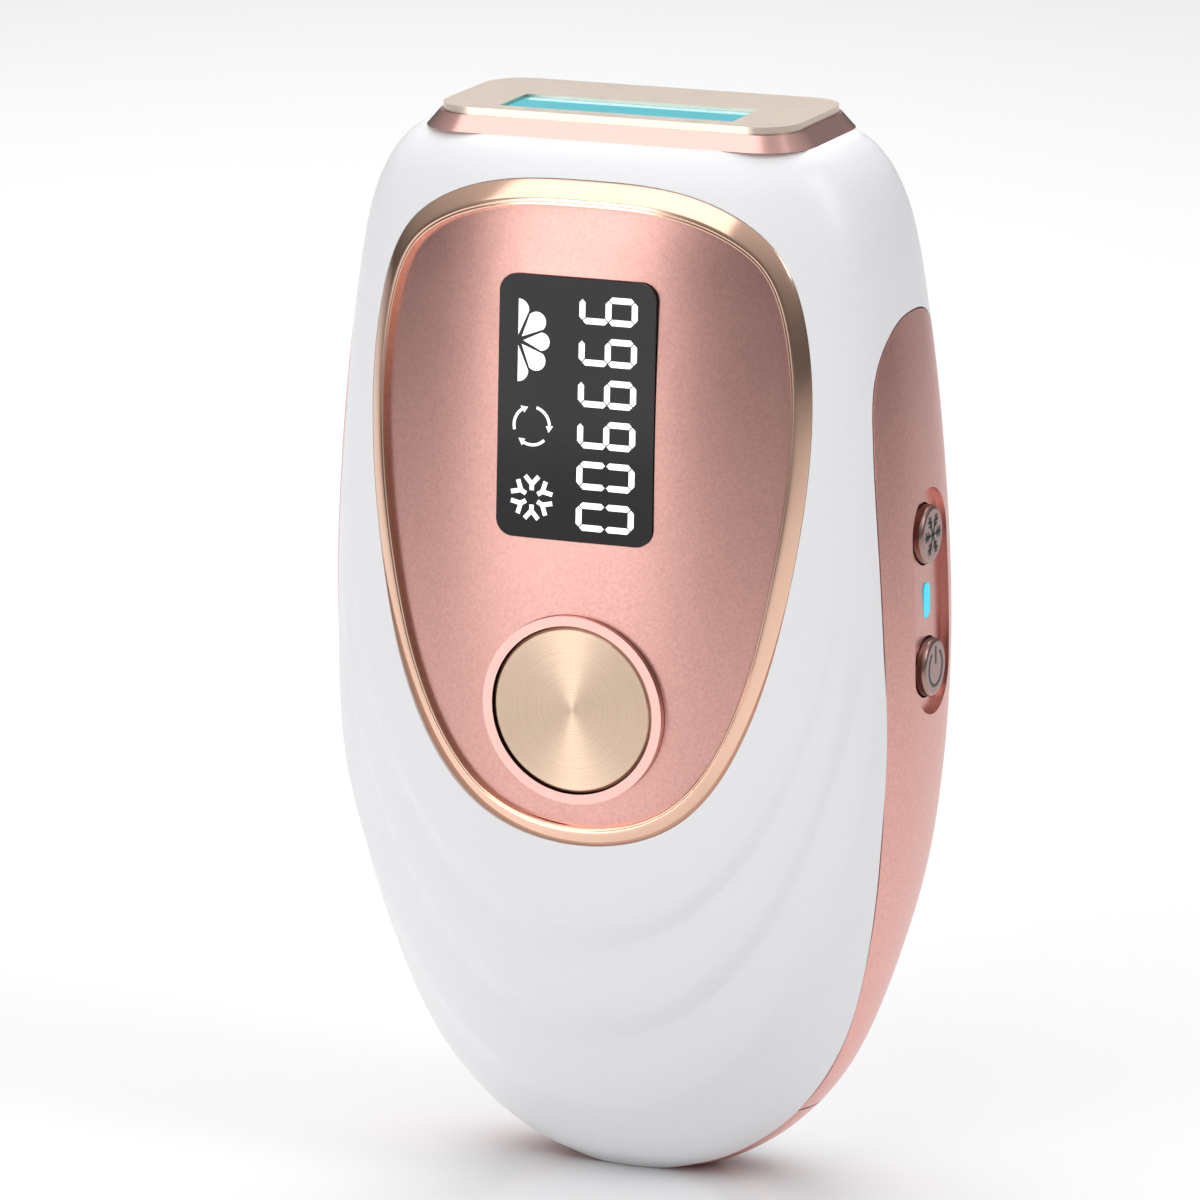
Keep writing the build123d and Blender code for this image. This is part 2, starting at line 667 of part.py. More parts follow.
# -------------------------------------------------------------- front panel
def panel_trim():
    """Raised metal ring round the panel."""
    ring = front_prism(egg_face(SEAM / 2), -5, -FAR) - front_prism(egg_face(TRIM_WIDTH, TRIM_CROWN), -5, -FAR)
    return (ring & body_solid(-TRIM_PROUD)) - body_solid(TRIM_SEAT)


def lens_block(grow, depth):
    """The lens outline from outside the panel down to a depth behind its face."""
    width, height = LENS_SIZE
    outline = RectangleRounded(width + 2 * grow, height + 2 * grow, LENS_CORNER + grow)
    face = LENS_CENTRE[1]
    start = -FAR if grow else face
    return tilted(front_prism(Pos(0, LENS_CENTRE[2]) * outline, face + depth, start))


def display_block(grow, start, end):
    """Rectangle of the display module between two depths behind the lens face."""
    width, height = DISPLAY_SIZE
    outline = Rectangle(width + 2 * grow, height + 2 * grow)
    face = LENS_CENTRE[1]
    return tilted(front_prism(Pos(0, LENS_CENTRE[2]) * outline, face + end, face + start))


def front_panel():
    """Crowned panel with the display opening, the flash button's hole and
    four posts for the display board."""
    edge = front_prism(egg_face(TRIM_WIDTH + PANEL_GAP, TRIM_CROWN), -5, -FAR)
    middle = front_prism(egg_face(TRIM_WIDTH + PANEL_STEP + PANEL_GAP, TRIM_CROWN), -5, -FAR)
    inside = body_solid(PANEL_THICKNESS)
    panel = (edge & body_solid(PANEL_SUNK)) - body_solid(TRIM_SEAT)
    panel += (middle & body_solid(PANEL_SUNK)) - inside
    for x, z in DISPLAY_POSTS:
        post = rod("Y", (x, z), DISPLAY_POST_RADIUS, -FAR / 2, DISPLAY_BOARD_Y[0])
        panel += post & body_solid(PANEL_SUNK + 0.5)
        panel -= rod("Y", (x, z), SMALL_SCREW_RADIUS, DISPLAY_BOARD_Y[0] - 1.6, 0)
    panel -= lens_block(SEAM, LENS_THICKNESS)
    panel -= display_block(SEAM, -1, 10)
    panel -= rod("Y", (0, FLASH_HEIGHT), RING_TUBE_RADIUS + SEAM, -FAR, 0)
    return panel - rod("Y", (0, FLASH_HEIGHT), RING_RADIUS + SEAM / 2, -FAR, RING_FLANGE_BACK)


def flash_button_ring():
    """Raised ring with a tube that the button slides in."""
    centre = (0, FLASH_HEIGHT)
    ring = rod("Y", centre, RING_RADIUS, RING_FACE, RING_FLANGE_BACK)
    ring += rod("Y", centre, RING_TUBE_RADIUS, RING_FLANGE_BACK, RING_BACK)
    return ring - rod("Y", centre, FLASH_RADIUS + FLASH_GAP, -FAR, 0)


def flash_button_cap():
    """Turned metal disc under the fingertip, edge chamfered."""
    disc = rod("Y", (0, FLASH_HEIGHT), FLASH_RADIUS, FLASH_FACE, FLASH_FACE + FLASH_CAP)
    return chamfer(disc.faces().sort_by(Axis.Y)[0].edges(), 0.35)


def flash_button_carrier():
    """Plastic cup behind the disc: its rim stops it behind the ring and its
    stem works the switch."""
    centre = (0, FLASH_HEIGHT)
    front = FLASH_FACE + FLASH_CAP
    carrier = rod("Y", centre, CARRIER_RADIUS, front, CARRIER_RIM[0])
    carrier += rod("Y", centre, CARRIER_RIM_RADIUS, *CARRIER_RIM)
    carrier -= rod("Y", centre, CARRIER_RADIUS - CARRIER_WALL, front + CARRIER_PLATE, 0)
    return carrier + rod("Y", centre, 2.0, front + CARRIER_PLATE, FLASH_PLUNGER_TOP)


def flash_switch():
    """Push switch on the display board."""
    body = block((-SWITCH_HALF, SWITCH_HALF), (FLASH_SWITCH_TOP, DISPLAY_BOARD_Y[0]),
                 (FLASH_HEIGHT - SWITCH_HALF, FLASH_HEIGHT + SWITCH_HALF))
    well = rod("Y", (0, FLASH_HEIGHT), PLUNGER_RADIUS + SEAM, FLASH_SWITCH_TOP - 1,
               FLASH_SWITCH_TOP + PLUNGER_WELL)
    return body - well


def flash_switch_plunger():
    """The switch's own plunger, which moves with the button."""
    return rod("Y", (0, FLASH_HEIGHT), PLUNGER_RADIUS, FLASH_PLUNGER_TOP, FLASH_SWITCH_TOP + PLUNGER_SUNK)


def display_board():
    """Circuit board behind the panel."""
    board = block((-DISPLAY_BOARD_X, DISPLAY_BOARD_X), DISPLAY_BOARD_Y, DISPLAY_BOARD_Z)
    for x, z in DISPLAY_POSTS:
        board -= rod("Y", (x, z), SMALL_SCREW_RADIUS + SEAM, -FAR, 0)
    return board


def screw(centre, under_head, tip, radius, head_radius, head_depth):
    """Screw along Y. The head lies beyond under_head, away from the tip, and
    has a cross recess."""
    away = 1 if under_head > tip else -1
    top = under_head + away * head_depth
    body = rod("Y", centre, radius, min(tip, under_head), max(tip, under_head))
    body += rod("Y", centre, head_radius, min(top, under_head), max(top, under_head))
    x, z = centre
    floor = top - away * head_depth / 2
    y = (min(floor, top), max(floor, top))
    arm = head_radius * 0.65
    slot = head_radius * 0.15
    body -= block((x - arm, x + arm), y, (z - slot, z + slot))
    return body - block((x - slot, x + slot), y, (z - arm, z + arm))


def display_screws():
    """Four screws that hold the display board."""
    return [screw(centre, DISPLAY_BOARD_Y[1], DISPLAY_BOARD_Y[0] - 1.4, SMALL_SCREW_RADIUS,
                  SMALL_SCREW_HEAD, 1.0) for centre in DISPLAY_POSTS]


# ------------------------------------------------------------- side buttons
def side_button(height):
    """Round cap with a retaining flange inside the shell and a stem."""
    surface = body_size(height)[0]
    flange = (surface - WALL - SIDE_FLANGE[0], surface - WALL - SIDE_FLANGE[1])
    cap = rod("X", (0, height), SIDE_BUTTON_RADIUS, flange[1], surface + SIDE_BUTTON_PROUD)
    cap = fillet(cap.faces().sort_by(Axis.X)[-1].edges(), 0.6)
    cap += rod("X", (0, height), SIDE_FLANGE_RADIUS, *flange)
    return cap + rod("X", (0, height), STEM_RADIUS, SIDE_PLUNGER_TOP, flange[0])


def side_switch(height):
    """Push switch on the side board."""
    body = block(SIDE_SWITCH_X, (-SWITCH_HALF, SWITCH_HALF), (height - SWITCH_HALF, height + SWITCH_HALF))
    top = SIDE_SWITCH_X[1]
    return body - rod("X", (0, height), PLUNGER_RADIUS + SEAM, top - PLUNGER_WELL, top + 1)


def side_switch_plunger(height):
    """The side switch's own plunger, which moves with the button."""
    return rod("X", (0, height), PLUNGER_RADIUS, SIDE_SWITCH_X[1] - PLUNGER_SUNK, SIDE_PLUNGER_TOP)


def indicator_light_pipe():
    """Clear bar between the two buttons, with a flange inside the shell."""
    surface = body_size(INDICATOR_HEIGHT)[0]
    pipe = indicator_prism(0, SIDE_SWITCH_X[0] + 1.6, surface - POCKET_DEPTH + SEAM)
    inside = surface - WALL
    return pipe + indicator_prism(0.8, inside - 1.2, inside - 0.4)


def indicator_led():
    """Small lamp on the side board behind the light pipe."""
    z = (INDICATOR_HEIGHT - 1.6, INDICATOR_HEIGHT + 1.6)
    return block((SIDE_SWITCH_X[0], SIDE_SWITCH_X[0] + 1.2), (-0.8, 0.8), z)


def side_board():
    """Circuit board behind the side buttons."""
    return block(SIDE_BOARD_X, (-SIDE_BOARD_Y, SIDE_BOARD_Y), SIDE_BOARD_Z)


# ---------------------------------------------------------------------- fan
def fan_block(y):
    """The fan's square outline between two depths."""
    half = FAN_SIZE / 2
    return block((-half, half), y, (FAN_HEIGHT - half, FAN_HEIGHT + half))


def fan_housing():
    """Tray that the impeller turns in, open upwards to the heat sink."""
    centre = (0, FAN_HEIGHT)
    housing = fan_block((FAN_FRONT, CHAMBER_BACK))
    housing -= rod("Y", centre, FAN_CHAMBER_RADIUS, CHAMBER_FRONT, FAR)
    housing -= block((-FAN_CHAMBER_RADIUS, FAN_CHAMBER_RADIUS), (CHAMBER_FRONT, FAR),
                     (FAN_HEIGHT, FAN_HEIGHT + FAN_SIZE))
    return housing - rod("Y", centre, BEARING_RADIUS, 0, FAR)


def fan_cover():
    """Plate over the tray with the round air inlet."""
    return fan_block((CHAMBER_BACK, FAN_BACK)) - rod("Y", (0, FAN_HEIGHT), INLET_RADIUS, 0, FAR)


def fan_bearing():
    """Sleeve that the shaft runs in."""
    centre = (0, FAN_HEIGHT)
    return (rod("Y", centre, BEARING_RADIUS, FAN_FRONT, BEARING_BACK)
            - rod("Y", centre, SHAFT_RADIUS + SHAFT_CLEARANCE, 0, FAR))


def fan_motor():
    """Wound stator round the bearing."""
    centre = (0, FAN_HEIGHT)
    return (rod("Y", centre, STATOR_RADIUS, CHAMBER_FRONT, STATOR_BACK)
            - rod("Y", centre, BEARING_RADIUS, 0, FAR))


def fan_impeller():
    """Hub cup with a ring of leaning blades."""
    centre = (0, FAN_HEIGHT)
    cup = rod("Y", centre, HUB_RADIUS, CUP_FRONT, CUP_BACK)
    cup -= rod("Y", centre, HUB_RADIUS - CUP_WALL, 0, CUP_BACK - CUP_WALL)
    cup -= rod("Y", centre, SHAFT_RADIUS, 0, FAR)
    length = BLADE_TIP_RADIUS - HUB_RADIUS
    for number in range(BLADE_COUNT):
        turn = 360 * number / BLADE_COUNT
        blade = Pos(length / 2 - 0.3, 0, 0) * Box(length, CUP_BACK - CUP_FRONT, BLADE_THICKNESS)
        blade = Pos(HUB_RADIUS, 0, 0) * Rot(0, BLADE_LEAN, 0) * blade
        cup += Pos(0, (CUP_FRONT + CUP_BACK) / 2, FAN_HEIGHT) * Rot(0, turn, 0) * blade
    return cup


def fan_shaft():
    """Steel shaft pressed into the hub."""
    return rod("Y", (0, FAN_HEIGHT), SHAFT_RADIUS, FAN_FRONT + 0.6, CUP_BACK)


# -------------------------------------------------------------- electronics
def inner_frame():
    """Plate between the main board and the fan, with standoffs for the board."""
    frame = block((-FRAME_X, FRAME_X), (FRAME_FRONT, FRAME_BACK), FRAME_Z)
    frame += block((-FRAME_TAIL_X, FRAME_TAIL_X), (FRAME_FRONT, FRAME_BACK),
                   (FRAME_TAIL_BOTTOM - 1.5, FRAME_Z[0]))
    for centre in BOARD_SCREWS:
        frame += rod("Y", centre, STANDOFF_RADIUS, BOARD_Y[1], FRAME_FRONT)
        frame -= rod("Y", centre, SCREW_RADIUS, 0, FAR)
    for centre in FRAME_POSTS:
        frame -= rod("Y", centre, SCREW_RADIUS, 0, FAR)
    return frame


def frame_screws():
    """Four screws through the frame into the back shell's posts."""
    return [screw(centre, FRAME_FRONT, FRAME_BACK + 4.5, SCREW_RADIUS, SCREW_HEAD_RADIUS,
                  SCREW_HEAD_DEPTH) for centre in FRAME_POSTS]


def main_board():
    """Main circuit board."""
    board = block((-BOARD_X, BOARD_X), BOARD_Y, BOARD_Z)
    for centre in BOARD_SCREWS:
        board -= rod("Y", centre, SCREW_RADIUS, 0, FAR)
    return board


def board_screws():
    """Four screws through the main board into the frame."""
    return [screw(centre, BOARD_Y[0], FRAME_BACK, SCREW_RADIUS, SCREW_HEAD_RADIUS, SCREW_HEAD_DEPTH)
            for centre in BOARD_SCREWS]


def shell_screws():
    """Four screws that hold the two shells together."""
    return [screw(centre, SHELL_SCREW_SEAT, -7.5, SCREW_RADIUS, SCREW_HEAD_RADIUS, SCREW_HEAD_DEPTH)
            for centre in SHELL_BOSSES]


def flash_capacitors():
    """Two storage capacitors, each with its two pins bent to the board."""
    cans = []
    bottom = CAPACITOR_Z[0]
    for x in CAPACITOR_PLACES:
        can = rod("Z", (x, CAPACITOR_Y), CAPACITOR_RADIUS, *CAPACITOR_Z)
        can -= (rod("Z", (x, CAPACITOR_Y), FAR, *CAPACITOR_CRIMP)
                - rod("Z", (x, CAPACITOR_Y), CAPACITOR_CRIMP_RADIUS, *CAPACITOR_CRIMP))
        for pin in (x - CAPACITOR_PIN_SPREAD, x + CAPACITOR_PIN_SPREAD):
            across = (pin - LEAD_PIN, pin + LEAD_PIN)
            foot = bottom - CAPACITOR_PIN_DROP
            can += block(across, (CAPACITOR_Y - LEAD_PIN, CAPACITOR_Y + LEAD_PIN), (foot, bottom))
            can += block(across, (CAPACITOR_Y - LEAD_PIN, BOARD_Y[0]), (foot, foot + 2 * LEAD_PIN))
        cans.append(can)
    return cans


def flash_transformer():
    """High-voltage transformer: core halves and winding in one block."""
    core = block(TRANSFORMER_X, (TRANSFORMER_FRONT, BOARD_Y[0]), TRANSFORMER_Z)
    window = (TRANSFORMER_Z[0] + TRANSFORMER_YOKE, TRANSFORMER_Z[1] - TRANSFORMER_YOKE)
    core -= block((-FAR, FAR), (-FAR, TRANSFORMER_FRONT + TRANSFORMER_STEP), window)
    middle = (TRANSFORMER_X[0] + TRANSFORMER_X[1]) / 2
    return core + rod("Z", (middle, WINDING_Y), WINDING_RADIUS, *TRANSFORMER_Z)


def power_switch():
    """Power transistor with its metal tab."""
    bottom, shoulder, top = TRANSISTOR_Z
    middle = (TRANSISTOR_X[0] + TRANSISTOR_X[1]) / 2
    body = block(TRANSISTOR_X, (TRANSISTOR_FRONT, BOARD_Y[0]), (bottom, shoulder))
    body += block(TRANSISTOR_X, (BOARD_Y[0] - TRANSISTOR_TAB, BOARD_Y[0]), (shoulder, top))
    return body - rod("Y", (middle, (shoulder + top) / 2), TRANSISTOR_HOLE_RADIUS, -FAR, FAR)


def filter_inductor():
    """Ring-core inductor lying on the board."""
    ring = rod("Y", INDUCTOR_PLACE, INDUCTOR_RADIUS, INDUCTOR_FRONT, BOARD_Y[0])
    return ring - rod("Y", INDUCTOR_PLACE, INDUCTOR_BORE, -FAR, FAR)


def trigger_coil():
    """Coil that fires the lamp."""
    start, end = COIL_X
    coil = rod("X", COIL_PLACE, COIL_RADIUS, start, end)
    return coil + rod("X", COIL_PLACE, COIL_CORE_RADIUS, start - COIL_CORE_PROUD, end + COIL_CORE_PROUD)


def controller_chip():
    """Microcontroller on the display board's back."""
    back = DISPLAY_BOARD_Y[1]
    return block(CHIP_X, (back, back + CHIP_THICKNESS), CHIP_Z)


def board_connectors():
    """White connectors for the leads and ribbons."""
    return [block(*limits) for limits in CONNECTOR_BLOCKS]


def wire(points, bend):
    """Round wire along straight runs joined by arcs."""
    path = FilletPolyline(*points, radius=bend)
    start = Plane(origin=path @ 0, z_dir=path % 0)
    return sweep(start * Circle(WIRE_RADIUS), path=path)


def lamp_leads():
    """A wire from each end of the lamp to the main board."""
    right = wire(LAMP_LEAD_ROUTE, LAMP_LEAD_BEND)
    return [right, mirror(right, Plane.YZ)]


def inlet_leads():
    """Two wires from the power inlet to the main board."""
    right = wire(INLET_LEAD_ROUTE, INLET_LEAD_BEND)
    return [right, mirror(right, Plane.YZ)]


def fan_lead():
    """Wire from the fan round the frame to the main board."""
    return wire(FAN_LEAD_ROUTE, FAN_LEAD_BEND)


def ribbon(points, width_axis, width, bend):
    """Flat flexible cable along a path."""
    path = FilletPolyline(*points, radius=bend)
    start = Plane(origin=path @ 0, x_dir=width_axis, z_dir=path % 0)
    return sweep(start * Rectangle(width, RIBBON_THICKNESS), path=path)


def display_ribbon():
    """Flat cable between the display board and the main board."""
    return ribbon(DISPLAY_RIBBON_ROUTE, (1, 0, 0), DISPLAY_RIBBON_WIDTH, DISPLAY_RIBBON_BEND)


def side_ribbon():
    """Flat cable between the side board and the main board."""
    return ribbon(SIDE_RIBBON_ROUTE, (0, 0, 1), SIDE_RIBBON_WIDTH, SIDE_RIBBON_BEND)


# -------------------------------------------------------------- power inlet
def inlet_socket():
    """Barrel socket whose nose fills the hole in the bottom cap."""
    half = SOCKET_BODY_HALF
    body = block((-half, half), (-half, half), (SOCKET_BODY_BOTTOM, SOCKET_BODY_TOP))
    body += rod("Z", (0, 0), SOCKET_NOSE_RADIUS, SOCKET_MOUTH, SOCKET_BODY_BOTTOM)
    body -= rod("Z", (0, 0), SOCKET_RADIUS, 0, SOCKET_TOP)
    return body - rod("Z", (0, 0), SOCKET_PIN_ROOT_RADIUS, SOCKET_TOP, SOCKET_PIN_ROOT[1])


def inlet_pin():
    """Centre contact of the socket, held by a thinner root."""
    pin = rod("Z", (0, 0), SOCKET_PIN_RADIUS, SOCKET_PIN_TIP, SOCKET_PIN_ROOT[0])
    return pin + rod("Z", (0, 0), SOCKET_PIN_ROOT_RADIUS, *SOCKET_PIN_ROOT)


# -------------------------------------------------------------------- write
SHELL_FORM = shell_form()
write("front_shell", front_shell(SHELL_FORM))
write("back_shell", back_shell(SHELL_FORM))
write("right_strip", right_strip())
write("left_strip", side_strip(-1))
write("bottom_cap", bottom_cap())
write("head_collar", head_collar())
write("head_plate", head_plate())
write("sapphire_window", sapphire_window())
write("cold_frame", cold_frame())
write("filter_glass", filter_block(0))
write("lamp_housing", lamp_housing())
write("reflector", reflector())
write("flash_lamp_tube", flash_lamp_tube())
write("lamp_electrodes", *lamp_electrodes())
write("cooling_modules", *cooling_modules())
write("heat_sink", heat_sink())
write("temperature_sensor", temperature_sensor())
write("panel_trim", panel_trim())
write("front_panel", front_panel())
write("display_lens", lens_block(0, LENS_THICKNESS))
write("display_gasket", display_block(0, LENS_THICKNESS, LENS_THICKNESS + GASKET)
      - display_block(-1.0, 0, 5))
write("display_module", display_block(0, LENS_THICKNESS + GASKET, LENS_THICKNESS + GASKET + DISPLAY_DEPTH))
write("display_board", display_board())
write("display_screws", *display_screws())
write("controller_chip", controller_chip())
write("flash_button_ring", flash_button_ring())
write("flash_button_cap", flash_button_cap())
write("flash_button_carrier", flash_button_carrier())
write("flash_switch", flash_switch())
write("flash_switch_plunger", flash_switch_plunger())
for name, height in (("cooling", COOLING_HEIGHT), ("power", POWER_HEIGHT)):
    write(f"{name}_button", side_button(height))
    write(f"{name}_switch_plunger", side_switch_plunger(height))
write("side_switches", side_switch(COOLING_HEIGHT), side_switch(POWER_HEIGHT))
write("indicator_light_pipe", indicator_light_pipe())
write("indicator_led", indicator_led())
write("side_board", side_board())
write("fan_housing", fan_housing())
write("fan_cover", fan_cover())
write("fan_bearing", fan_bearing())
write("fan_motor", fan_motor())
write("fan_impeller", fan_impeller())
write("fan_shaft", fan_shaft())
write("inner_frame", inner_frame())
write("main_board", main_board())
write("frame_and_board_screws", *frame_screws(), *board_screws())
write("shell_screws", *shell_screws())
write("flash_capacitors", *flash_capacitors())
write("flash_transformer", flash_transformer())
write("power_transistor", power_switch())
write("filter_inductor", filter_inductor())
write("trigger_coil", trigger_coil())
write("board_connectors", *board_connectors())
write("lamp_leads", *lamp_leads())
write("inlet_leads", *inlet_leads())
write("fan_lead", fan_lead())
write("ribbon_cables", display_ribbon(), side_ribbon())
write("inlet_socket", inlet_socket())
write("inlet_pin", inlet_pin())
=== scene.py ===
import bpy
import json
import math
import numpy
from mathutils import Matrix, Vector


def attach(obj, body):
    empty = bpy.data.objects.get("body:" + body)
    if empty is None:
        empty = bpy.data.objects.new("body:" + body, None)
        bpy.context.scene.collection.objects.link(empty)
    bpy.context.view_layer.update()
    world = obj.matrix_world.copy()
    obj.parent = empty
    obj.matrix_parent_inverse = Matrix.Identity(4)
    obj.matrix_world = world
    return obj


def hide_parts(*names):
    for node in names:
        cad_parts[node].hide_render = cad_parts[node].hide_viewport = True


# Look of the IPL hair remover: the CAD parts with their finishes, a rippled
# front shell, the bevelled trim, the display's symbols and the button icons.
# Lengths are in millimetres unless a name says otherwise; meshes are made in metres.

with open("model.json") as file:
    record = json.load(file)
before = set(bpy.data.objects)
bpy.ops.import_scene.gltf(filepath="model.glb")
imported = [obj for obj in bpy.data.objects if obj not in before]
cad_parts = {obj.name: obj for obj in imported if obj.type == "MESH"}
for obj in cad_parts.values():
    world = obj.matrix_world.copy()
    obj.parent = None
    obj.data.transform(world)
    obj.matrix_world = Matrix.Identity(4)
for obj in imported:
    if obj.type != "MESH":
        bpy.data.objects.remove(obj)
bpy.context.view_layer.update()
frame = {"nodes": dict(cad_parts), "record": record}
NODES = frame["nodes"]
MM = 0.001

# Body sections: height, half width, half depth, squareness (millimetres).
BODY_SECTIONS = [
    (0.0, 8.5, 4.6, 2.1),
    (1.0, 11.8, 6.2, 2.1),
    (3.0, 15.9, 8.8, 2.1),
    (8.0, 22.8, 11.9, 2.15),
    (16.0, 29.3, 15.3, 2.2),
    (28.0, 34.5, 19.0, 2.3),
    (45.0, 39.2, 21.9, 2.45),
    (65.0, 41.2, 23.5, 2.65),
    (85.0, 41.1, 23.5, 2.8),
    (105.0, 39.7, 22.6, 2.8),
    (120.0, 37.9, 21.4, 2.8),
    (130.0, 36.1, 20.1, 2.8),
    (136.0, 33.7, 18.2, 2.9),
    (139.5, 31.0, 16.2, 3.0),
    (141.2, 28.6, 14.3, 3.1),
]
BODY_TOP = BODY_SECTIONS[-1][0]
WALL = 2.6

EGG = [(0.0, 49.4), (14.3, 53.7), (23.4, 66.2), (28.5, 84.0), (30.9, 105.0), (29.9, 119.0),
       (25.8, 129.4), (16.0, 135.4), (0.0, 137.0)]
TRIM_WIDTH = 2.3
TRIM_TOP_EXTRA = 0.9
TRIM_LAP = 0.2          # how far the lip reaches over the panel's edge
DENSE_STEPS = 40
STRIP = [(4.6, 10.6), (5.3, 21.8), (8.3, 38.7), (10.7, 56.7), (12.1, 78.0), (12.4, 92.0),
         (11.9, 105.0), (9.6, 114.6), (4.9, 118.7), (0.0, 119.4)]
STRIP_TIP = -6.0          # where the leaf would close below the bottom cap
STRIP_HALF = 10.0         # usual half width of the leaf, by which its seam is scaled
STRIP_SHOULDER = 100.0    # above this height the seam also opens upwards
STRIP_LAP = 1.0           # how far the leaf runs down into the band below it
CAP_HALF = 4.6
CAP_TOP = 10.6

# Ripple ridges low on the front: half axes and centre height of each arc.
RIDGES = [(33.5, 52.5, 91.0), (35.6, 62.5, 88.0), (38.0, 68.0, 80.0)]
RIDGE_HEIGHT = 1.6
RIDGE_INSIDE = 8.0        # width of the slow rise on the inner side of an arc
RIDGE_OUTSIDE = 2.6       # width of the quick fall on the outer side
RIDGE_FADE = 26.0         # height over which a ridge fades out, going up
RIDGE_STRETCH = 0.85      # share of an arc's half height that a step across it covers

# Front shell: how finely it is drawn, and where its CAD solid is cut.
FRONT_EDGE_TURN = 0.9     # radians past the side at which the fine front ends
FRONT_COLUMNS = 420
BACK_COLUMNS = 30
FRONT_ROWS = 330
INNER_COLUMNS = 120
INNER_ROWS = 90
ROW_GRADING = 1.3         # rows crowd together towards the narrow lower end
FAR = 60.0                # reach of the cutting prisms
EGG_CUT_BACK = -5.0
EGG_CUT_STEPS = 200
STRIP_STEPS = 240
STRIP_CUT_START = 8.0
SEAM = 0.1
BAND_BOTTOM = -1.0
BELOW = -9.0
ABOVE = 190.0
# Parting line between the shells, as depth and height, bottom to top.
PARTING_LINE = [(0.0, 92.0), (1.2, 99.5), (11.0, 122.0), (12.0, 128.0)]
HEAD_OPENING = (23.5, 11.2)
HEAD_OPENING_Z = (130.0, 150.0)

NORMAL_STEP = 0.05        # step used to measure the body's slope
SECTION_STEP = 0.2
RIDGE_TOP_GAP = 2.0       # a ridge is gone this far below its arc's centre
RIDGE_SIDE_RISE = 4.0     # how fast a ridge grows from the side round to the front
SMOOTH_ANGLE = 30.0       # edges sharper than this stay crisp, in degrees
CUT_SMOOTH_ANGLE = 35.0

LENS_TILT = math.radians(3.5)
LENS_CENTRE = (0.0, -22.25, 107.6)
FLASH_CENTRE = (0.0, -24.1, 68.0)
COOLING_HEIGHT = 89.8
POWER_HEIGHT = 72.0

# Display symbols and button icons, flat on their faces: lines and petals.
PLATE_THICKNESS = 0.05
ICON_THICKNESS = 0.02
LENS_LIFT = 0.01          # gap under the display's symbols
ICON_LIFT = 0.005         # gap under a button's icon
BUTTON_STANDS_OUT = 0.1   # how far a side button's face stands out of the strip
ARC_STEPS = 20
PETAL_CENTRE = (-8.2, 8.6)
PETAL_SPREAD = 0.27       # half width of a petal, as a share of its length
PETAL_ROOT = 0.7          # distance from the flower's centre to a petal's point
PETAL_TIP_STEPS = 10
PETAL_LONG = 5.4
PETAL_MIDDLE = 4.9
PETAL_SHORT = 4.4
ARROWS_CENTRE = (-6.1, -2.5)
ARROW_RADIUS = 2.5
ARROW_LINE = 0.38
ARROW_SWEEP = 72          # degrees covered by an arrow's tail
ARROW_HEAD_SWEEP = 20
ARROW_HEAD_HALF = 0.5
ARROW_STARTS = (75, 195, 315)
FLAKE_CENTRE = (-5.95, -11.9)
FLAKE_LINE = 0.6
FLAKE_HOLE = 0.95         # an arm starts this far from the centre
FLAKE_ARM = 2.1
FLAKE_FORK = 1.75         # the arm splits this far from the centre
FLAKE_PRONG = (1.05, 0.95)
SNOW_ARM = 2.9
SNOW_ARM_LINE = 0.42
SNOW_TWIG = 0.85
SNOW_TWIG_LINE = 0.36
SNOW_TWIG_ANGLE = 48
SNOW_TWIG_PLACES = (1.3, 2.0)
POWER_RADIUS = 2.4
POWER_LINE = 0.45
POWER_ARC = (125, 415)
POWER_BAR = (0.5, 2.9)
POWER_STEPS = 40
DIGITS = "999900"
DIGIT_WIDTH = 2.9
DIGIT_HEIGHT = 7.3
DIGIT_PITCH = 5.41
DIGIT_FIRST = (4.37, 13.25)
DIGIT_BAR = 0.82
DIGIT_GAP = 0.1

# How far a finish's colour and roughness wander, as factors of its own values.
MOULDED_TONE = (0.97, 1.03)
MOULDED_GLOSS = (0.9, 1.12)
SHELL_TONE = (0.992, 1.008)
SHELL_ROUGHNESS = (0.31, 0.34)
COAT_TONE = (0.93, 1.07)
COAT_GLOSS = (0.92, 1.1)
POLISH_TONE = (0.97, 1.02)
POLISH_GLOSS = (0.8, 1.3)
BRUSHED_TONE = (0.88, 1.06)
BRUSHED_GLOSS = (0.8, 1.25)
SPUN_TONE = (0.9, 1.07)
GLASS_TONE = (0.95, 1.04)
LIT_TONE = (0.96, 1.03)
WIRE_TONE = (0.6, 1.2)

# Surface textures; bump depths are in metres.
RAMP_ENDS = (0.3, 0.7)    # noise values at which a colour ramp starts and ends
FINE_BUMP = 0.00001
COAT_FLAKES = 2600.0      # noise scale of the satin coat's metal flakes
SPUN_COLOR = (0.53, 0.395, 0.295)
SPUN_RINGS = 5200.0       # noise scale of the disc's turning marks
EDGE_ANGLE = 40.0         # edges sharper than this are softened, in degrees
# Rounded edges: part, width and segments.
SOFT_EDGES = [("head_collar", 0.25, 2), ("head_plate", 0.22, 2), ("flash_button_ring", 0.3, 3),
              ("right_strip", 0.2, 2), ("left_strip", 0.2, 2)]

# Camera: looks at the middle of the body from the front right.
CAMERA_TURN = math.radians(23.05)
CAMERA_RISE = math.radians(14.01)
CAMERA_DISTANCE = 1.018
CAMERA_ROLL = math.radians(-0.31)
CAMERA_AIM_RIGHT = -0.00569
CAMERA_AIM_HEIGHT = 0.07726
CAMERA_LENS = 230.3
SENSOR_WIDTH = 36.0
CAMERA_REACH = 20.0

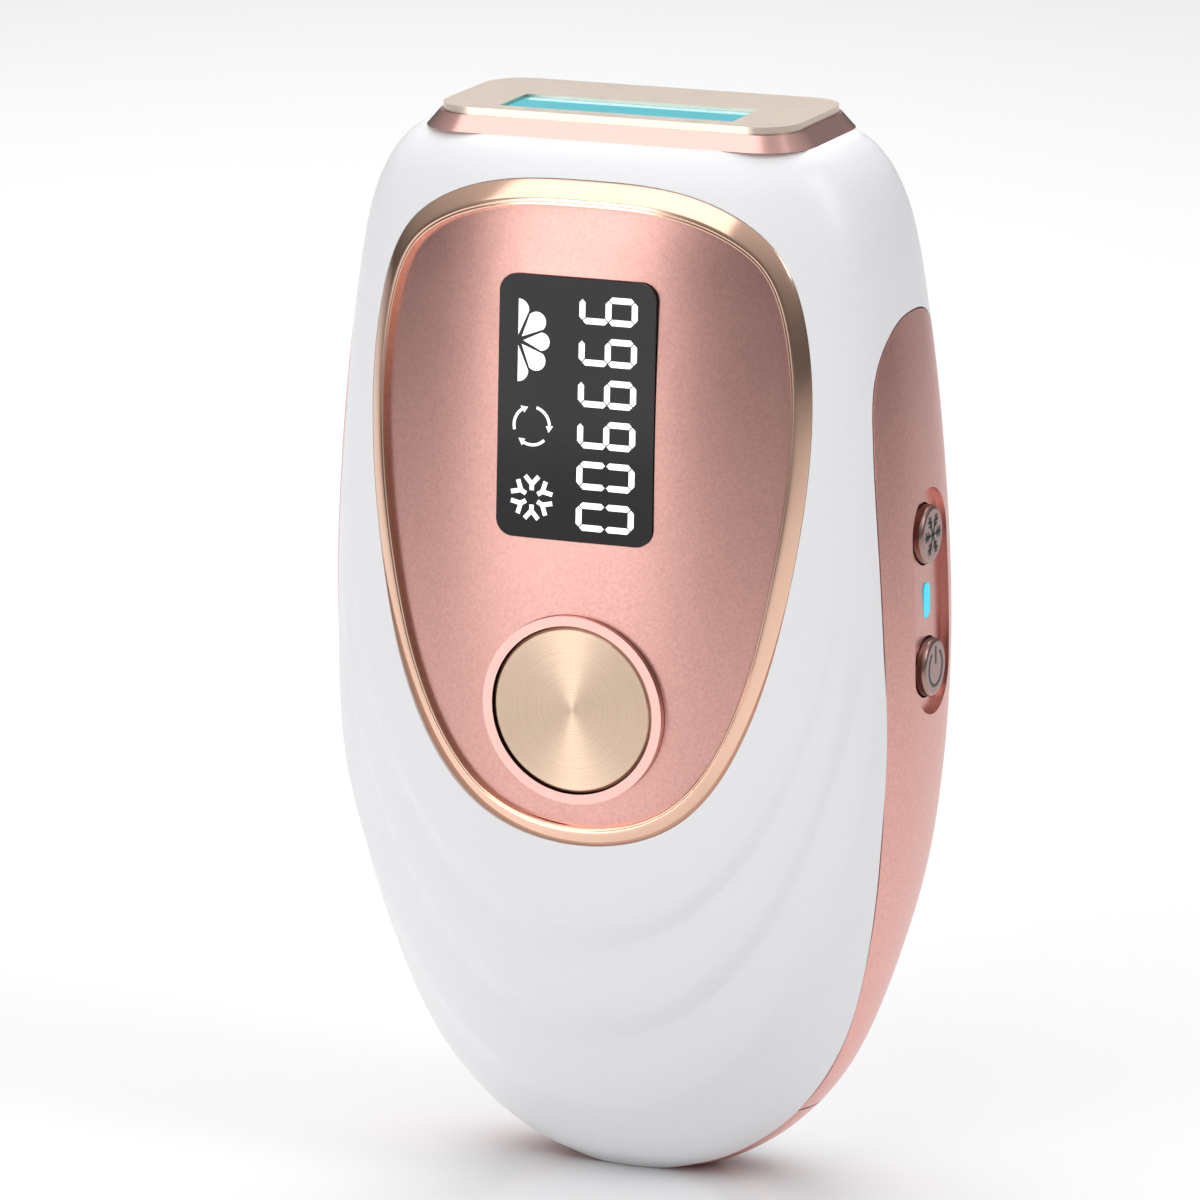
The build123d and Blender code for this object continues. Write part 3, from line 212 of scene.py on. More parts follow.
# Lights: name, place, target, size and power, in metres and watts.
BODY_MIDDLE = (0, 0, 0.08)
LIGHTS = [
    ("top_light", (-0.15, -0.50, 0.80), BODY_MIDDLE, (0.8, 0.55), 1.9),
    ("front_light", (-0.36, -0.85, 0.16), BODY_MIDDLE, (0.18, 0.9), 1.9),
    ("right_light", (0.60, -0.10, 0.60), BODY_MIDDLE, (0.20, 0.5), 1.3),
    ("backdrop_light", (-0.32, 0.60, 0.75), (-0.30, 0.55, 0), (0.7, 1.0), 7.0),
]
HORIZON_COLOR = (0.10, 0.10, 0.105)
ZENITH_COLOR = (0.75, 0.75, 0.76)
FLOOR_HALF = 3000.0
FLOOR_COLOR = (0.93, 0.93, 0.935)
FLOOR_ROUGHNESS = (0.14, 0.2)


# --------------------------------------------------------------- body shape
def cubic(t, start, end, leaving, arriving):
    """Smooth cubic from start to end, given its rates of change at both ends."""
    return (start * (2 * t**3 - 3 * t**2 + 1) + end * (3 * t**2 - 2 * t**3)
            + leaving * (t**3 - 2 * t**2 + t) + arriving * (t**3 - t**2))


def body_size(height):
    """Half width, half depth and squareness of the body at a height."""
    rows = BODY_SECTIONS
    spots = [math.sqrt(row[0]) for row in rows]
    here = math.sqrt(min(max(height, 0.0), BODY_TOP))
    index = max(i for i in range(len(rows) - 1) if spots[i] <= here)
    span = spots[index + 1] - spots[index]
    t = (here - spots[index]) / span
    values = []
    for column in (1, 2, 3):
        def slope(i):
            first = max(i - 1, 0)
            last = min(i + 1, len(rows) - 1)
            return (rows[last][column] - rows[first][column]) / (spots[last] - spots[first])
        values.append(cubic(t, rows[index][column], rows[index + 1][column],
                            span * slope(index), span * slope(index + 1)))
    return values


def body_front(x, z):
    """Depth of the body's front surface at a place seen from the front."""
    half_width, half_depth, squareness = body_size(z)
    rest = max(1 - (abs(x) / half_width)**squareness, 0.0)
    return -half_depth * rest**(1 / squareness)


def body_normal(x, z):
    """Outward normal of the front surface."""
    step = NORMAL_STEP
    slope_x = (body_front(x + step, z) - body_front(x - step, z)) / (2 * step)
    slope_z = (body_front(x, z + step) - body_front(x, z - step)) / (2 * step)
    return Vector((slope_x, -1.0, slope_z)).normalized()


def ease(value):
    """Smooth step from 0 to 1."""
    t = min(max(value, 0.0), 1.0)
    return t * t * (3 - 2 * t)


def ripple(x, z):
    """Height of the ripple ridges: each rises slowly from inside its arc and
    falls away quickly outside, and fades out up the flanks."""
    height = 0.0
    for half_width, half_height, centre in RIDGES:
        reach = math.hypot(x / half_width, (z - centre) / half_height)
        away = (reach - 1) * half_height * RIDGE_STRETCH
        width = RIDGE_INSIDE if away < 0 else RIDGE_OUTSIDE
        fade = ease((centre - RIDGE_TOP_GAP - z) / RIDGE_FADE)
        height = max(height, RIDGE_HEIGHT * fade * math.exp(-(away / width)**2))
    return height


def section_points(height, inset, turns, rippled):
    """Points round one body section, moved in by an inset."""
    half_width, half_depth, squareness = body_size(height)
    above = body_size(height + SECTION_STEP)
    below = body_size(max(height - SECTION_STEP, 0.0))
    rise = min(height + SECTION_STEP, BODY_TOP) - max(height - SECTION_STEP, 0.0)
    half_width -= inset * math.hypot(1, (above[0] - below[0]) / rise)
    half_depth -= inset * math.hypot(1, (above[1] - below[1]) / rise)
    points = []
    for turn in turns:
        across = math.cos(turn)
        along = math.sin(turn)
        reach = (abs(across)**squareness + abs(along)**squareness)**(-1 / squareness)
        x = half_width * reach * across
        y = half_depth * reach * along
        if rippled and along < 0:
            lift = ripple(x, height) * min(-RIDGE_SIDE_RISE * along, 1.0)
            outward = Vector((across / half_width, along / half_depth)).normalized()
            x += outward.x * lift
            y += outward.y * lift
        points.append((x, y, height))
    return points


def make_object(name, points, faces, smooth_angle=SMOOTH_ANGLE):
    """Mesh object from points in millimetres."""
    mesh = bpy.data.meshes.new(name)
    mesh.from_pydata([(x * MM, y * MM, z * MM) for x, y, z in points], [], faces)
    mesh.validate()
    mesh.update()
    mesh.shade_smooth()
    mesh.set_sharp_from_angle(angle=math.radians(smooth_angle))
    piece = bpy.data.objects.new(name, mesh)
    bpy.context.scene.collection.objects.link(piece)
    return piece


def tube_faces(rows, columns, closed=False):
    """Quads between rings of points; rows wrap too when closed."""
    faces = []
    for row in range(rows if closed else rows - 1):
        this = row * columns
        other = (row + 1) % rows * columns
        for column in range(columns):
            after = (column + 1) % columns
            faces.append((this + column, this + after, other + after, other + column))
    return faces


def body_form(name, inset, heights, turns, rippled=False):
    """Closed solid of the body's form."""
    points = []
    for height in heights:
        points += section_points(height, inset, turns, rippled)
    columns = len(turns)
    faces = tube_faces(len(heights), columns)
    faces.append(tuple(reversed(range(columns))))
    last = (len(heights) - 1) * columns
    faces.append(tuple(last + column for column in range(columns)))
    return make_object(name, points, faces)


def smooth_loop(points, count):
    """Closed cubic spline through points, as evenly spread points."""
    places = numpy.array(points, dtype=float)
    total = len(places)
    steps = numpy.linalg.norm(numpy.roll(places, -1, 0) - places, axis=1)
    rises = (numpy.roll(places, -1, 0) - places) / steps[:, None]
    system = numpy.zeros((total, total))
    for index in range(total):
        before = steps[index - 1]
        after = steps[index]
        system[index, index - 1] = after
        system[index, index] = 2 * (before + after)
        system[index, (index + 1) % total] = before
    weights = 3 * (numpy.roll(steps, 1)[:, None] * rises + steps[:, None] * numpy.roll(rises, 1, 0))
    slopes = numpy.linalg.solve(system, weights)
    dense = []
    for index in range(total):
        after = (index + 1) % total
        leaving = steps[index] * slopes[index]
        arriving = steps[index] * slopes[after]
        for t in numpy.arange(DENSE_STEPS) / DENSE_STEPS:
            dense.append(cubic(t, places[index], places[after], leaving, arriving))
    dense = numpy.array(dense + dense[:1])
    lengths = numpy.concatenate([[0], numpy.cumsum(numpy.linalg.norm(numpy.diff(dense, axis=0), axis=1))])
    targets = lengths[-1] * numpy.arange(count) / count
    return [Vector((numpy.interp(target, lengths, dense[:, 0]), numpy.interp(target, lengths, dense[:, 1])))
            for target in targets]


def egg_loop(count):
    """The egg outline in X and Z, anticlockwise from its lowest point."""
    return smooth_loop(EGG + [(-x, z) for x, z in EGG[-2:0:-1]], count)


def loop_normals(loop):
    """Outward normal at each point of an anticlockwise loop."""
    normals = []
    for index in range(len(loop)):
        along = loop[(index + 1) % len(loop)] - loop[index - 1]
        normals.append(Vector((along.y, -along.x)).normalized())
    return normals


def prism(name, outline, axis, start, end):
    """Closed prism of an outline: drawn in X and Z along Y, or in Y and Z along X."""
    points = []
    for far in (start, end):
        for u, v in outline:
            points.append((u, far, v) if axis == "Y" else (far, u, v))
    count = len(outline)
    faces = tube_faces(2, count)
    faces.append(tuple(reversed(range(count))))
    faces.append(tuple(range(count, 2 * count)))
    piece = make_object(name, points, faces)
    if axis == "Y":
        piece.data.flip_normals()
    return piece


def strip_outline(grow):
    """The strip's leaf outline in Y and Z, anticlockwise, grown by a seam."""
    lower_tip = (0.0, STRIP_TIP)
    loop = smooth_loop(STRIP + [(-y, z) for y, z in STRIP[-2::-1]] + [lower_tip], STRIP_STEPS)
    leaf = [point for point in loop if point.y > CAP_TOP - STRIP_LAP]
    wider = 1 + grow / STRIP_HALF
    return [(point.x * wider, point.y + grow * (point.y > STRIP_SHOULDER)) for point in leaf]


def cut(piece, cutters):
    """Takes each cutter away from the piece, then removes the cutters."""
    for cutter in cutters:
        modifier = piece.modifiers.new("cut", "BOOLEAN")
        modifier.operation = "DIFFERENCE"
        modifier.solver = "MANIFOLD"
        modifier.object = cutter
    bpy.context.view_layer.update()
    graph = bpy.context.evaluated_depsgraph_get()
    mesh = bpy.data.meshes.new_from_object(piece.evaluated_get(graph))
    piece.modifiers.clear()
    piece.data = mesh
    for cutter in cutters:
        bpy.data.objects.remove(cutter)
    mesh.shade_smooth()
    mesh.set_sharp_from_angle(angle=math.radians(CUT_SMOOTH_ANGLE))


def spread(start, end, count, power=1.0):
    """Evenly graded numbers from start to end."""
    return [start + (end - start) * (number / (count - 1))**power for number in range(count)]


def front_shell():
    """White front shell: the rippled body cut like its CAD solid."""
    front_end = FRONT_EDGE_TURN
    front = spread(-math.pi - front_end, front_end, FRONT_COLUMNS)
    back_step = (math.pi - 2 * front_end) / (BACK_COLUMNS + 1)
    back = [front_end + back_step * (number + 1) for number in range(BACK_COLUMNS)]
    heights = spread(0.0, BODY_TOP, FRONT_ROWS, ROW_GRADING)
    shell = body_form("front_shell_skin", 0.0, heights, front + back, True)
    round_turns = [2 * math.pi * number / INNER_COLUMNS for number in range(INNER_COLUMNS)]
    inner_heights = spread(WALL, BODY_TOP - WALL, INNER_ROWS, ROW_GRADING)
    cutters = [body_form("cut_inner", WALL, inner_heights, round_turns)]
    egg = [tuple(point) for point in egg_loop(EGG_CUT_STEPS)]
    cutters.append(prism("cut_egg", egg, "Y", -FAR, EGG_CUT_BACK))
    cutters.append(prism("cut_right", strip_outline(SEAM), "X", STRIP_CUT_START, FAR))
    cutters.append(prism("cut_left", strip_outline(SEAM), "X", -FAR, -STRIP_CUT_START))
    band = [(-CAP_HALF, BAND_BOTTOM), (CAP_HALF, BAND_BOTTOM), (CAP_HALF, CAP_TOP), (-CAP_HALF, CAP_TOP)]
    cutters.append(prism("cut_band", band, "X", -FAR, FAR))
    depth = PARTING_LINE[-1][0]
    rear = [(0.0, BELOW), (FAR, BELOW), (FAR, ABOVE), (depth, ABOVE)] + PARTING_LINE[::-1]
    cutters.append(prism("cut_rear", rear, "X", -FAR, FAR))
    width, depth = HEAD_OPENING
    bottom, top = HEAD_OPENING_Z
    opening = [(-depth, bottom), (depth, bottom), (depth, top), (-depth, top)]
    cutters.append(prism("cut_top", opening, "X", -width, width))
    cut(shell, cutters)
    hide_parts("front_shell")
    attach(shell, "device")
    return shell


# ---------------------------------------------------------------- the trim
# Trim profile from outside to inside: share of the width, height over the body.
TRIM_PROFILE = [(0.02, -1.1), (0.02, 0.0), (0.10, 0.12), (0.62, 0.62), (0.72, 0.69), (0.80, 0.72),
                (0.86, 0.68), (0.90, 0.56), (0.97, 0.54), (1.0, 0.48), (1.0, -1.1)]
TRIM_STEPS = 360
TRIM_SMOOTH_ANGLE = 24.0


def panel_trim():
    """Raised ring: a bevel that leans outwards, then a thin inner lip."""
    loop = egg_loop(TRIM_STEPS)
    normals = loop_normals(loop)
    points = []
    for across, height in TRIM_PROFILE:
        for point, normal in zip(loop, normals):
            width = TRIM_WIDTH + TRIM_LAP + TRIM_TOP_EXTRA * max(normal.y, 0.0)**2
            place = point - normal * width * across
            depth = body_front(place.x, place.y)
            outward = body_normal(place.x, place.y)
            points.append(Vector((place.x, depth, place.y)) + outward * height)
    faces = [tuple(reversed(face)) for face in tube_faces(len(TRIM_PROFILE), TRIM_STEPS, closed=True)]
    trim = make_object("panel_trim_ring", points, faces, TRIM_SMOOTH_ANGLE)
    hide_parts("panel_trim")
    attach(trim, "device")
    return trim


# --------------------------------------------------------- flat thin symbols
def thin_plates(name, outlines, place, thickness):
    """Closed thin plates; place maps two flat coordinates and a height to X, Y, Z."""
    points = []
    faces = []
    for outline in outlines:
        start = len(points)
        count = len(outline)
        for height in (0.0, thickness):
            points += [place(u, v, height) for u, v in outline]
        faces.append(tuple(start + i for i in reversed(range(count))))
        faces.append(tuple(start + count + i for i in range(count)))
        for i in range(count):
            j = (i + 1) % count
            faces.append((start + i, start + j, start + count + j, start + count + i))
    return make_object(name, points, faces)


def on_lens(u, v, height):
    """Place on the display's face: u to the right, v up."""
    lift = LENS_LIFT + height
    x, y, z = LENS_CENTRE
    return (x + u, y + v * math.sin(LENS_TILT) - lift * math.cos(LENS_TILT),
            z + v * math.cos(LENS_TILT) + lift * math.sin(LENS_TILT))


def bar(start, end, thickness):
    """Six-sided bar with pointed ends."""
    start, end = Vector(start), Vector(end)
    along = (end - start).normalized()
    side = Vector((-along.y, along.x)) * thickness / 2
    tip = along * thickness / 2
    return [tuple(p) for p in (start, start + tip - side, end - tip - side, end, end - tip + side,
                               start + tip + side)]


def ribbon(start, end, thickness):
    """Straight bar with square ends."""
    start, end = Vector(start), Vector(end)
    side = Vector((start.y - end.y, end.x - start.x)).normalized() * thickness / 2
    return [tuple(p) for p in (start - side, end - side, end + side, start + side)]


def arc_band(centre, radius, thickness, start, end, steps=ARC_STEPS):
    """Curved bar between two angles in degrees."""
    outline = []
    for edge, order in ((radius + thickness / 2, range(steps + 1)),
                        (radius - thickness / 2, range(steps, -1, -1))):
        for step in order:
            angle = math.radians(start + (end - start) * step / steps)
            outline.append((centre[0] + edge * math.cos(angle), centre[1] + edge * math.sin(angle)))
    return outline


# Seven-segment digits: each bar's ends, as steps across and up.
SEGMENTS = {"a": ((0, 2), (1, 2)), "b": ((1, 1), (1, 2)), "c": ((1, 0), (1, 1)), "d": ((0, 0), (1, 0)),
            "e": ((0, 0), (0, 1)), "f": ((0, 1), (0, 2)), "g": ((0, 1), (1, 1))}
DIGIT_SEGMENTS = {"9": "abcdfg", "0": "abcdef"}


def digit_bars(text):
    """Seven-segment digits that read down the display, their tops to the right."""
    outlines = []
    for number, digit in enumerate(text):
        middle = DIGIT_FIRST[1] - number * DIGIT_PITCH
        for name in DIGIT_SEGMENTS[digit]:
            ends = []
            for across, up in SEGMENTS[name]:
                ends.append((DIGIT_FIRST[0] + (up - 1) * DIGIT_HEIGHT / 2,
                             middle - (across - 0.5) * DIGIT_WIDTH))
            gap = (Vector(ends[1]) - Vector(ends[0])).normalized() * DIGIT_GAP
            outlines.append(bar(Vector(ends[0]) + gap, Vector(ends[1]) - gap, DIGIT_BAR))
    return outlines


def petal(centre, angle, length, sides=(1, -1)):
    """Petal with a round tip; one side only gives half of it."""
    half_width = length * PETAL_SPREAD
    shoulder = length - half_width
    outline = [(PETAL_ROOT, 0.0)]
    for side in sides:
        arc = [math.radians(90 - 90 * step / PETAL_TIP_STEPS) for step in range(PETAL_TIP_STEPS + 1)]
        edge = [(shoulder + half_width * math.cos(turn), side * half_width * math.sin(turn))
                for turn in arc]
        outline += edge if side == sides[0] else list(reversed(edge[:-1]))
    if sides[0] > 0:
        outline.reverse()
    turn = math.radians(angle)
    return [(centre[0] + u * math.cos(turn) - v * math.sin(turn),
             centre[1] + u * math.sin(turn) + v * math.cos(turn)) for u, v in outline]


def level_petals():
    """Half flower that shows the light level."""
    shapes = [petal(PETAL_CENTRE, 90, PETAL_LONG, (-1,)), petal(PETAL_CENTRE, -90, PETAL_LONG, (1,))]
    for angle, length in ((45, PETAL_MIDDLE), (0, PETAL_SHORT), (-45, PETAL_MIDDLE)):
        shapes.append(petal(PETAL_CENTRE, angle, length))
    return shapes


def cycle_arrows():
    """Three chasing arrows."""
    middle_x, middle_y = ARROWS_CENTRE
    shapes = []
    for start in ARROW_STARTS:
        end = start - ARROW_SWEEP
        shapes.append(arc_band(ARROWS_CENTRE, ARROW_RADIUS, ARROW_LINE, start, end))
        root = math.radians(end)
        tip = math.radians(end - ARROW_HEAD_SWEEP)
        head = ((ARROW_RADIUS + ARROW_HEAD_HALF, root), (ARROW_RADIUS - ARROW_HEAD_HALF, root),
                (ARROW_RADIUS, tip))
        shapes.append([(middle_x + radius * math.cos(angle), middle_y + radius * math.sin(angle))
                       for radius, angle in head])
    return shapes


def display_snowflake():
    """Six Y-shaped arms round an open centre."""
    centre = Vector(FLAKE_CENTRE)
    forward, sideways = FLAKE_PRONG
    shapes = []
    for number in range(6):
        turn = math.radians(90 + 60 * number)
        along = Vector((math.cos(turn), math.sin(turn)))
        side = Vector((-along.y, along.x))
        shapes.append(ribbon(centre + along * FLAKE_HOLE, centre + along * FLAKE_ARM, FLAKE_LINE))
        fork = centre + along * FLAKE_FORK
        for sign in (-1, 1):
            prong = along * forward + side * sign * sideways
            shapes.append(ribbon(fork, fork + prong, FLAKE_LINE))
    return shapes


def display_symbols():
    """Lit digits and symbols on the display."""
    outlines = digit_bars(DIGITS) + level_petals() + cycle_arrows() + display_snowflake()
    piece = thin_plates("display_symbols", outlines, on_lens, PLATE_THICKNESS)
    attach(piece, "device")
    return piece


def on_button(height):
    """Place on a side button's face: u towards the back, v up."""
    face = body_size(height)[0] + BUTTON_STANDS_OUT

    def place(u, v, lift):
        return (face + ICON_LIFT + lift, u, height + v)
    return place


def snow_icon():
    """Thin snowflake for the cooling button."""
    shapes = []
    for number in range(6):
        turn = math.radians(60 * number)
        along = Vector((math.cos(turn), math.sin(turn)))
        shapes.append(ribbon(Vector((0, 0)), along * SNOW_ARM, SNOW_ARM_LINE))
        for reach in SNOW_TWIG_PLACES:
            for sign in (-1, 1):
                angle = turn + sign * math.radians(SNOW_TWIG_ANGLE)
                twig = Vector((math.cos(angle), math.sin(angle))) * SNOW_TWIG
                shapes.append(ribbon(along * reach, along * reach + twig, SNOW_TWIG_LINE))
    return shapes


def power_icon():
    """Open ring and bar for the power button."""
    start, end = POWER_ARC
    low, high = POWER_BAR
    ring = arc_band((0, 0), POWER_RADIUS, POWER_LINE, start, end, POWER_STEPS)
    return [ring, ribbon(Vector((0, low)), Vector((0, high)), POWER_LINE)]


def button_icons():
    """Dark icons on both side buttons."""
    icons = []
    for name, body, height, shapes in (("cooling_icon", "cooling_button_body", COOLING_HEIGHT, snow_icon()),
                                       ("power_icon", "power_button_body", POWER_HEIGHT, power_icon())):
        piece = thin_plates(name, shapes, on_button(height), ICON_THICKNESS)
        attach(piece, body)
        icons.append(piece)
    return icons


# --------------------------------------------------------------- materials
class Finish:
    """A Principled material with its node helpers."""

    def __init__(self, name, color, roughness, metallic=0.0):
        self.material = bpy.data.materials.new(name)
        self.material.use_nodes = True
        self.tree = self.material.node_tree
        self.shader = self.tree.nodes["Principled BSDF"]
        self.shader.inputs["Base Color"].default_value = (*color, 1)
        self.shader.inputs["Roughness"].default_value = roughness
        self.shader.inputs["Metallic"].default_value = metallic
        self.material.diffuse_color = (*color, 1)
        self.place = self.node("ShaderNodeTexCoord").outputs["Object"]

    def node(self, kind, **values):
        """New node, with its settings or inputs given by name."""
        made = self.tree.nodes.new(kind)
        for key, value in values.items():
            if hasattr(made, key):
                setattr(made, key, value)
            else:
                made.inputs[key.replace("_", " ")].default_value = value
        return made

    def link(self, source, target):
        self.tree.links.new(source, target)

    def set(self, **values):
        """Sets inputs of the shader by name."""
        for key, value in values.items():
            self.shader.inputs[key.replace("_", " ")].default_value = value

    def noise(self, scale, detail=3.0, stretch=(1, 1, 1)):
        """Noise in the piece's own space."""
        mapping = self.node("ShaderNodeMapping")
        mapping.inputs["Scale"].default_value = stretch
        self.link(self.place, mapping.inputs["Vector"])
        texture = self.node("ShaderNodeTexNoise")
        texture.inputs["Scale"].default_value = scale
        texture.inputs["Detail"].default_value = detail
        self.link(mapping.outputs["Vector"], texture.inputs["Vector"])
        return texture.outputs["Fac"]

    def vary_color(self, source, low, high):
        ramp = self.node("ShaderNodeValToRGB")
        for stop, position, color in zip(ramp.color_ramp.elements, RAMP_ENDS, (low, high)):
            stop.position = position
            stop.color = (*color, 1)
        self.link(source, ramp.inputs["Fac"])
        self.link(ramp.outputs["Color"], self.shader.inputs["Base Color"])

    def vary_tone(self, source, color, factors):
        """Colour that wanders between a darker and a lighter shade."""
        darker, lighter = factors
        self.vary_color(source, shade(color, darker), shade(color, lighter))

    def vary_roughness(self, source, low, high):
        ranged = self.node("ShaderNodeMapRange")
        ranged.inputs["To Min"].default_value = low
        ranged.inputs["To Max"].default_value = high
        self.link(source, ranged.inputs["Value"])
        self.link(ranged.outputs["Result"], self.shader.inputs["Roughness"])

    def vary_gloss(self, source, roughness, factors):
        """Roughness that wanders round a value."""
        smoother, rougher = factors
        self.vary_roughness(source, roughness * smoother, roughness * rougher)

    def bump(self, source, strength, distance):
        bump = self.node("ShaderNodeBump")
        bump.inputs["Strength"].default_value = strength
        bump.inputs["Distance"].default_value = distance
        self.link(source, bump.inputs["Height"])
        self.link(bump.outputs["Normal"], self.shader.inputs["Normal"])


def shade(color, factor):
    """A colour made darker or lighter."""
    return tuple(min(channel * factor, 1.0) for channel in color)


def moulded(name, color, roughness, grain=900.0, depth=FINE_BUMP):
    """Moulded plastic: fine surface grain and a little unevenness in gloss."""
    finish = Finish(name, color, roughness)
    broad = finish.noise(45.0)
    finish.vary_tone(broad, color, MOULDED_TONE)
    finish.vary_gloss(broad, roughness, MOULDED_GLOSS)
    finish.bump(finish.noise(grain, 2.0), 0.25, depth)
    return finish


def coated_metal(name, color, roughness):
    """Satin metallic coat with fine flakes."""
    finish = Finish(name, color, roughness, 1.0)
    flakes = finish.noise(COAT_FLAKES, 1.0)
    finish.vary_tone(flakes, color, COAT_TONE)
    finish.vary_gloss(finish.noise(60.0), roughness, COAT_GLOSS)
    finish.bump(flakes, 0.12, FINE_BUMP)
    return finish


def polished_metal(name, color, roughness):
    """Polished plating with faint haze."""
    finish = Finish(name, color, roughness, 1.0)
    haze = finish.noise(120.0)
    finish.vary_tone(haze, color, POLISH_TONE)
    finish.vary_gloss(haze, roughness, POLISH_GLOSS)
    return finish


def spun_metal():
    """Turned disc: concentric grooves, and a highlight that fans out from the centre."""
    finish = Finish("champagne_spun_disc", SPUN_COLOR, 0.2, 1.0)
    finish.set(Anisotropic=0.95, Anisotropic_Rotation=0.25)
    tangent = finish.node("ShaderNodeTangent", direction_type="RADIAL", axis="Y")
    finish.link(tangent.outputs["Tangent"], finish.shader.inputs["Tangent"])
    offset = finish.node("ShaderNodeVectorMath", operation="SUBTRACT")
    offset.inputs[1].default_value = [value * MM for value in FLASH_CENTRE]
    finish.link(finish.place, offset.inputs[0])
    flat = finish.node("ShaderNodeVectorMath", operation="MULTIPLY")
    flat.inputs[1].default_value = (1, 0, 1)
    finish.link(offset.outputs["Vector"], flat.inputs[0])
    radius = finish.node("ShaderNodeVectorMath", operation="LENGTH")
    finish.link(flat.outputs["Vector"], radius.inputs[0])
    rings = finish.node("ShaderNodeTexNoise", noise_dimensions="1D")
    rings.inputs["Scale"].default_value = SPUN_RINGS
    rings.inputs["Detail"].default_value = 4.0
    finish.link(radius.outputs["Value"], rings.inputs["W"])
    finish.vary_tone(rings.outputs["Fac"], SPUN_COLOR, SPUN_TONE)
    finish.bump(rings.outputs["Fac"], 0.1, FINE_BUMP)
    return finish


def clear(name, color, roughness=0.03, amount=0.85):
    """Glass or crystal with a faint unevenness."""
    finish = Finish(name, color, roughness)
    finish.set(Transmission_Weight=amount, IOR=1.6)
    finish.vary_tone(finish.noise(80.0), color, GLASS_TONE)
    return finish


def lit(name, color, strength):
    """Plastic lit from behind."""
    finish = Finish(name, color, 0.25)
    finish.set(Emission_Color=(*color, 1), Emission_Strength=strength)
    finish.vary_tone(finish.noise(400.0), color, LIT_TONE)
    return finish


def black_glass():
    """Glossy black display lens."""
    finish = Finish("black_lens", (0.006, 0.006, 0.007), 0.06)
    finish.set(Specular_IOR_Level=0.15)
    finish.vary_color(finish.noise(60.0), (0.005, 0.005, 0.006), (0.009, 0.009, 0.010))
    return finish


def wound_wire(name, color):
    """Enamelled copper windings."""
    finish = Finish(name, color, 0.3, 1.0)
    turns = finish.noise(500.0, 1.0, (1, 1, 8))
    finish.vary_tone(turns, color, WIRE_TONE)
    finish.bump(turns, 0.6, 0.0001)
    return finish


def brushed(name, color, roughness, stretch):
    """Machined or extruded metal with a straight grain."""
    finish = Finish(name, color, roughness, 1.0)
    grain = finish.noise(300.0, 3.0, stretch)
    finish.vary_tone(grain, color, BRUSHED_TONE)
    finish.vary_gloss(grain, roughness, BRUSHED_GLOSS)
    finish.bump(grain, 0.15, 0.00002)
    return finish


def board_finish():
    """Green solder mask with the shadow of tracks."""
    finish = Finish("board_green", (0.03, 0.16, 0.07), 0.35)
    tracks = finish.node("ShaderNodeTexBrick")
    tracks.inputs["Scale"].default_value = 260.0
    finish.link(finish.place, tracks.inputs["Vector"])
    finish.vary_color(tracks.outputs["Fac"], (0.03, 0.17, 0.08), (0.05, 0.26, 0.12))
    finish.bump(tracks.outputs["Fac"], 0.2, 0.00003)
    return finish


def white_shell():
    """Satin-gloss white plastic."""
    color = (0.90, 0.90, 0.915)
    finish = Finish("white_gloss_plastic", color, 0.32)
    grain = finish.noise(1400.0, 2.0)
    finish.vary_tone(grain, color, SHELL_TONE)
    finish.vary_roughness(grain, *SHELL_ROUGHNESS)
    return finish


